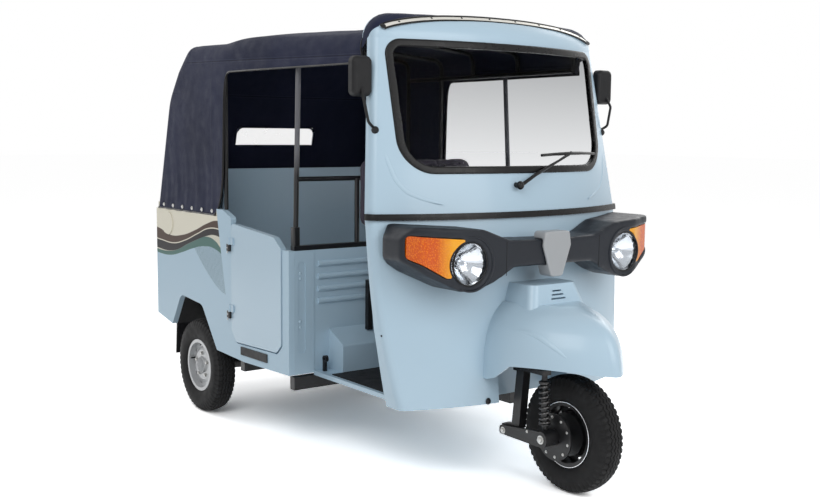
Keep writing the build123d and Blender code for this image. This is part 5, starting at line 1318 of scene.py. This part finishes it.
def make_lamps():
    """Headlamp bowls of flat petals round a bulb shield, black rings, and soft-edged mouldings."""
    bowls, shields, rings = Surface(), Surface(), Surface()
    radius = np.linspace(0.012, BOWL_RADIUS - 0.004, 9)
    depth = BOWL_DEPTH * (1 - (radius / BOWL_RADIUS) ** 2)
    ruffle = 0.0042 * ((np.arange(9)[:, None] + np.arange(2 * PETALS)) % 2)
    turn = full_turn(72)
    for side in (-1, 1):
        centre = np.array((side * LAMP_X, LAMP_Y + 0.016, LAMP_Z))
        front = turned(stack(depth, radius), centre, (0, 1, 0), 2 * PETALS)
        front[..., 1] -= ruffle
        bowls.grid(front)
        bowls.grid(turned([(0.0, BOWL_RADIUS - 0.004), (0.0, BOWL_RADIUS), (0.008, BOWL_RADIUS),
                           (BOWL_DEPTH + 0.006, 0.030), (BOWL_DEPTH + 0.006, 0.0)], centre, (0, 1, 0),
                          2 * PETALS))
        shields.grid(turned([(0.062, 0.0), (0.058, 0.012), (0.020, 0.012), (0.012, 0.009), (0.009, 0.0)],
                            centre, (0, 1, 0), 24))
        path = stack(side * LAMP_X + RING_RADIUS * np.cos(turn), LAMP_Y - 0.001,
                     LAMP_Z + RING_RADIUS * np.sin(turn))
        rings.grid(looped(path, 0.0042, 10, (0.0, 1.0, 0.0)))
    bowl = bowls.make("headlamp_bowls", "lamp_facets", "body", "reflector", sharp=radians(4))
    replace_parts(bowl, "headlamp_reflectors")
    shields.make("bulb_shields", "chrome", "body", "reflector")
    rings.make("headlamp_rings", "seal_rubber", "body", "black_trim")
    softened("lamp_bar", "lamp_moulding", "lamp_bar_plastic", 0.0055, 22)
    softened("badge_plate", "badge_moulding", "badge_grey", 0.0028, 45)
    softened("windscreen_seal", "screen_seal", "seal_rubber", 0.0038, 7)


make_lamps()


# Cab
# height, half width, station of the rear edge
CAB_EDGE = np.array([(0.360, 0.640, 0.462), (0.700, 0.699, 0.470), (1.160, 0.722, 0.508),
                     (1.900, 0.642, 0.612)])
STRIP_SCREWS = 8
STRIP_UP = np.array((0.0, -0.62, 0.78))


def cab_fittings():
    """Clamp strip over the windscreen header with its screws, and the rolled edges of the cab sides."""
    path = strip_path() + STRIP_UP * 0.0025
    strip = Surface().grid(piped(path, 0.0130, 14, STRIP_UP, 0.22))
    strip.make("header_strip", "header_strip", "body", "silver_rim")
    rubber = Surface()
    rubber.grid(piped(path + (0, -0.0105, -0.0095), 0.0042, 8))
    rubber.grid(piped(path + (0, 0.0105, 0.0085), 0.0052, 8))
    for end in (path[0], path[-1]):
        dome(rubber, end, STRIP_UP, 0.016, 0.008, 18)
    rubber.make("header_rubber", "seal_rubber", "body", "black_trim")
    screws = Surface()
    for x in np.linspace(-0.53, 0.53, STRIP_SCREWS):
        place = np.array([np.interp(x, path[:, 0], column) for column in path.T])
        dome(screws, place + STRIP_UP * 0.002, STRIP_UP, 0.0056, 0.0030, 14)
    screws.make("header_screws", "black_steel", "body", "black_steel")
    heights = np.linspace(0.42, 1.915, 90)
    half = np.interp(heights, CAB_EDGE[:, 0], CAB_EDGE[:, 1]) - 0.004
    y = at(np.interp(heights, CAB_EDGE[:, 0], CAB_EDGE[:, 2]))
    edges = Surface()
    for side in (-1, 1):
        edges.grid(piped(stack(side * half, y, heights), 0.0055, 10, (1.0, 0.0, 0.0)))
    edges.make("cab_rolled_edges", "body_enamel", "body", "body_paint")


def plate(centre, half_x, half_z, thickness, corner=5.0):
    """Flat plate with superellipse outline |x|^n + |z|^n = 1 and a softly rounded rim, facing +Y."""
    plan_x, plan_z = superellipse(full_turn(64), corner)
    scale = np.array((0.0, 0.6, 0.96, 1.0, 1.0, 0.0))[:, None]
    rise = np.array((1.0, 1.0, 1.0, 0.7, 0.0, 0.0))[:, None] * thickness
    return stack(half_x * scale * plan_x, rise, half_z * scale * plan_z) + centre


def from_behind(node, x, z):
    """Where a ray from behind first meets a node."""
    return np.array(hit(node, (x, at(3.0), z), (0, -1, 0)))


# Small fittings, found where the photograph's lines of sight meet the CAD
MIRROR = (0.714, 1.735)
MIRROR_BOSS = (0.670, -0.671, 1.516)
PILLAR_BUTTON = (0.657, -0.0524)
PILLAR_BUTTONS_UP = (0.850, 0.824, 0.622, 0.596)
HINGE_SCREW = (0.7275, 1.724)
HINGE_SCREWS_UP = (0.558, 0.583, 0.900, 0.922)
LATCH_UP = 0.060
TAIL_SCREW_X = 0.600
TAIL_SCREWS_UP = (0.750, 0.890)
PLATE_UP = 0.4965


def small_fittings():
    """Mirror glasses and bosses, pillar buttons, hinge screws, lid latch, tail screws and bare plate."""
    glasses, bosses, buttons, screws, tail = (Surface() for _ in range(5))
    for side in (-1, 1):
        back = hit("mirrors", (side * MIRROR[0], at(0.70), MIRROR[1]), (0, -1, 0))
        glasses.grid(plate((side * MIRROR[0], back.y - 0.0005, MIRROR[1]), 0.041, 0.075, 0.002))
        dome(bosses, (side * MIRROR_BOSS[0], *MIRROR_BOSS[1:]), (0.68 * side, -0.71, 0.18), 0.016, 0.016)
        for z in PILLAR_BUTTONS_UP:
            dome(buttons, (side * PILLAR_BUTTON[0], PILLAR_BUTTON[1], z), (0, -1, 0), 0.0085, 0.0045, 16)
        for z in HINGE_SCREWS_UP:
            bolt(screws, (side * HINGE_SCREW[0], at(HINGE_SCREW[1]), z), (side, 0, 0), 0.0038, 0.003)
        for z in TAIL_SCREWS_UP:
            dome(tail, from_behind("tail_lamps", side * TAIL_SCREW_X, z), (0, 1, 0), 0.005, 0.002, 12)
    glasses.make("mirror_glasses", "mirror_glass", "body", "reflector")
    bosses.make("mirror_bosses", "black_plastic", "body", "black_plastic")
    buttons.make("pillar_buttons", "body_enamel", "body", "body_paint")
    screws.make("hinge_screws", "zinc_bolts", "body", "black_steel")
    lid_low, lid_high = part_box("engine_lid")
    latch_z = lid_low.z + LATCH_UP
    latch = Surface().grid(plate((0.0, lid_high.y - 0.0005, latch_z), 0.050, 0.016, 0.007))
    dome(latch, (0.0, lid_high.y + 0.006, latch_z), (0, 1, 0), 0.010, 0.006, 18)
    latch.make("lid_latch", "black_plastic", "lid", "black_plastic")
    tail.make("tail_lamp_screws", "zinc_bolts", "body", "black_steel")
    panel = from_behind("rear_panel", 0.0, PLATE_UP - 0.0015)
    bare = Surface().grid(plate((0.0, panel[1] - 0.0005, PLATE_UP), 0.120, 0.021, 0.003, 14.0))
    bare.make("blank_plate", "badge_grey", "body", "badge_grey")


# Lines of pressed beads on the left half, and of the wiper, found where the photograph's lines of
# sight meet the CAD
FLANK_BEAD = ((-0.232, -1.075, 0.697), (-0.2275, -1.0975, 0.6972), (-0.2157, -1.1389, 0.6940),
              (-0.2034, -1.1855, 0.6794), (-0.1898, -1.2303, 0.6563), (-0.1765, -1.2634, 0.6356),
              (-0.1615, -1.2945, 0.6106))
CORNER_BEAD = ((-0.6560, -0.6830, 1.480), (-0.6386, -0.7130, 1.3935), (-0.6157, -0.7386, 1.3120),
               (-0.5738, -0.7658, 1.2588), (-0.5033, -0.7965, 1.2295), (-0.4300, -0.8280, 1.2100))
WIPER_BLADE = ((0.1046, -0.8475, 1.4136), (0.20, -0.8425, 1.4170), (0.30, -0.8310, 1.4200),
               (0.40, -0.8045, 1.4200), (0.50, -0.7750, 1.4170), (0.5240, -0.7690, 1.4165))
WIPER_ARM = ((-0.055, -0.897, 1.287), (0.06, -0.884, 1.340), (0.298, -0.836, 1.418))


def beads():
    """Pressed beads in the sheet metal: ridges on the fender's flanks and below the windscreen."""
    pressed = Surface()
    taper = np.sin(np.linspace(0.06, pi - 0.06, 48)) ** 0.5
    for line, up, width in ((FLANK_BEAD, (-0.82, -0.42, 0.38), 0.011),
                            (CORNER_BEAD, (-0.38, -0.90, 0.18), 0.009)):
        path = along_line(line, 48, 60)
        for mirrored in ((1, 1, 1), (-1, 1, 1)):
            pressed.grid(piped(path * mirrored, width * taper, 14, np.multiply(mirrored, up), 0.26))
    pressed.make("pressed_beads", "body_enamel", "body", "body_paint")


# Joints in the lamp moulding, round stops under the cab and at its sides, as half widths, Y and Z
JOINT = (0.272, -1.0510, 0.925, 1.068)
LOW_STOP = (0.260, -0.9366, 0.3720)
SIDE_STOP = (0.6937, -0.7604, 0.6724)
BEZEL_SWING = radians(118)
LAMP_BAR_REAR = -0.95


def front_details():
    """Wiper, joints in the lamp moulding, lamp bezels, and small black stops on the cab."""
    wiper = Surface()
    radius = 0.0085 * np.sin(np.linspace(0.35, pi - 0.35, 40)) ** 0.6
    wiper.grid(piped(along_line(WIPER_BLADE, 40, 40), radius, 10, (0.3, -0.85, 0.45), 0.62))
    wiper.grid(piped(along_line(WIPER_ARM, 30, 10), np.linspace(0.0085, 0.0045, 30), 10))
    dome(wiper, (-0.060, -0.893, 1.285), (0, -1, 0.1), 0.019, 0.015)
    wiper.make("wiper_blade", "seal_rubber", "body", "black_trim")
    joints, stops, bezels = Surface(), Surface(), Surface()
    swing = np.linspace(BEZEL_SWING, -BEZEL_SWING, 81)
    taper = 0.0058 * np.sin(np.linspace(0.12, pi - 0.12, 81)) ** 0.5
    z = LAMP_Z + BEZEL_RADIUS * np.sin(swing)
    for side in (-1, 1):
        path = stack(side * JOINT[0], JOINT[1], np.linspace(*JOINT[2:], 12))
        joints.grid(piped(path, 0.0013, 6, (0.0, -1.0, 0.0)))
        dome(stops, (side * LOW_STOP[0], *LOW_STOP[1:]), (side * -0.18, -0.98, 0.07), 0.015, 0.010, 18)
        dome(stops, (side * SIDE_STOP[0], *SIDE_STOP[1:]), (side * 0.96, -0.26, -0.1), 0.0045, 0.003, 12)
        x = side * (LAMP_X - BEZEL_RADIUS * np.cos(swing))
        depth = face_line("lamp_bar", stack(x, -1.4, z), (0, 1, 0), 1, LAMP_BAR_REAR)
        bezels.grid(piped(stack(x, smoothed(depth, 3), z), taper, 12, (0.0, -1.0, 0.0), 0.8))
    joints.make("lamp_bar_joints", "seal_rubber", "body", "black_trim")
    bezels.make("lamp_bezels", "lamp_bar_plastic", "body", "lamp_plastic")
    stops.make("cab_stops", "black_plastic", "body", "black_plastic")


cab_fittings()
small_fittings()
beads()
front_details()


# Floor
FLOOR_HALF = 60.0
FLOOR_SEEN = 2.3


def place_floor():
    """Pale floor that shows as nearly white and keeps a soft shadow."""
    mesh = bpy.data.meshes.new("floor")
    corners = [(-FLOOR_HALF, -FLOOR_HALF, 0), (FLOOR_HALF, -FLOOR_HALF, 0),
               (FLOOR_HALF, FLOOR_HALF, 0), (-FLOOR_HALF, FLOOR_HALF, 0)]
    mesh.from_pydata(corners, [], [(0, 1, 2, 3)])
    pale = Finish("pale_floor")
    diffuse = pale.add("BsdfDiffuse", Color=pale.blend(pale.seen(), grey(0.86), grey(FLOOR_SEEN)))
    pale.links.new(diffuse.outputs[0], pale.nodes["Material Output"].inputs["Surface"])
    mesh.materials.append(FINISHES["pale_floor"])
    placed("floor", mesh)


place_floor()
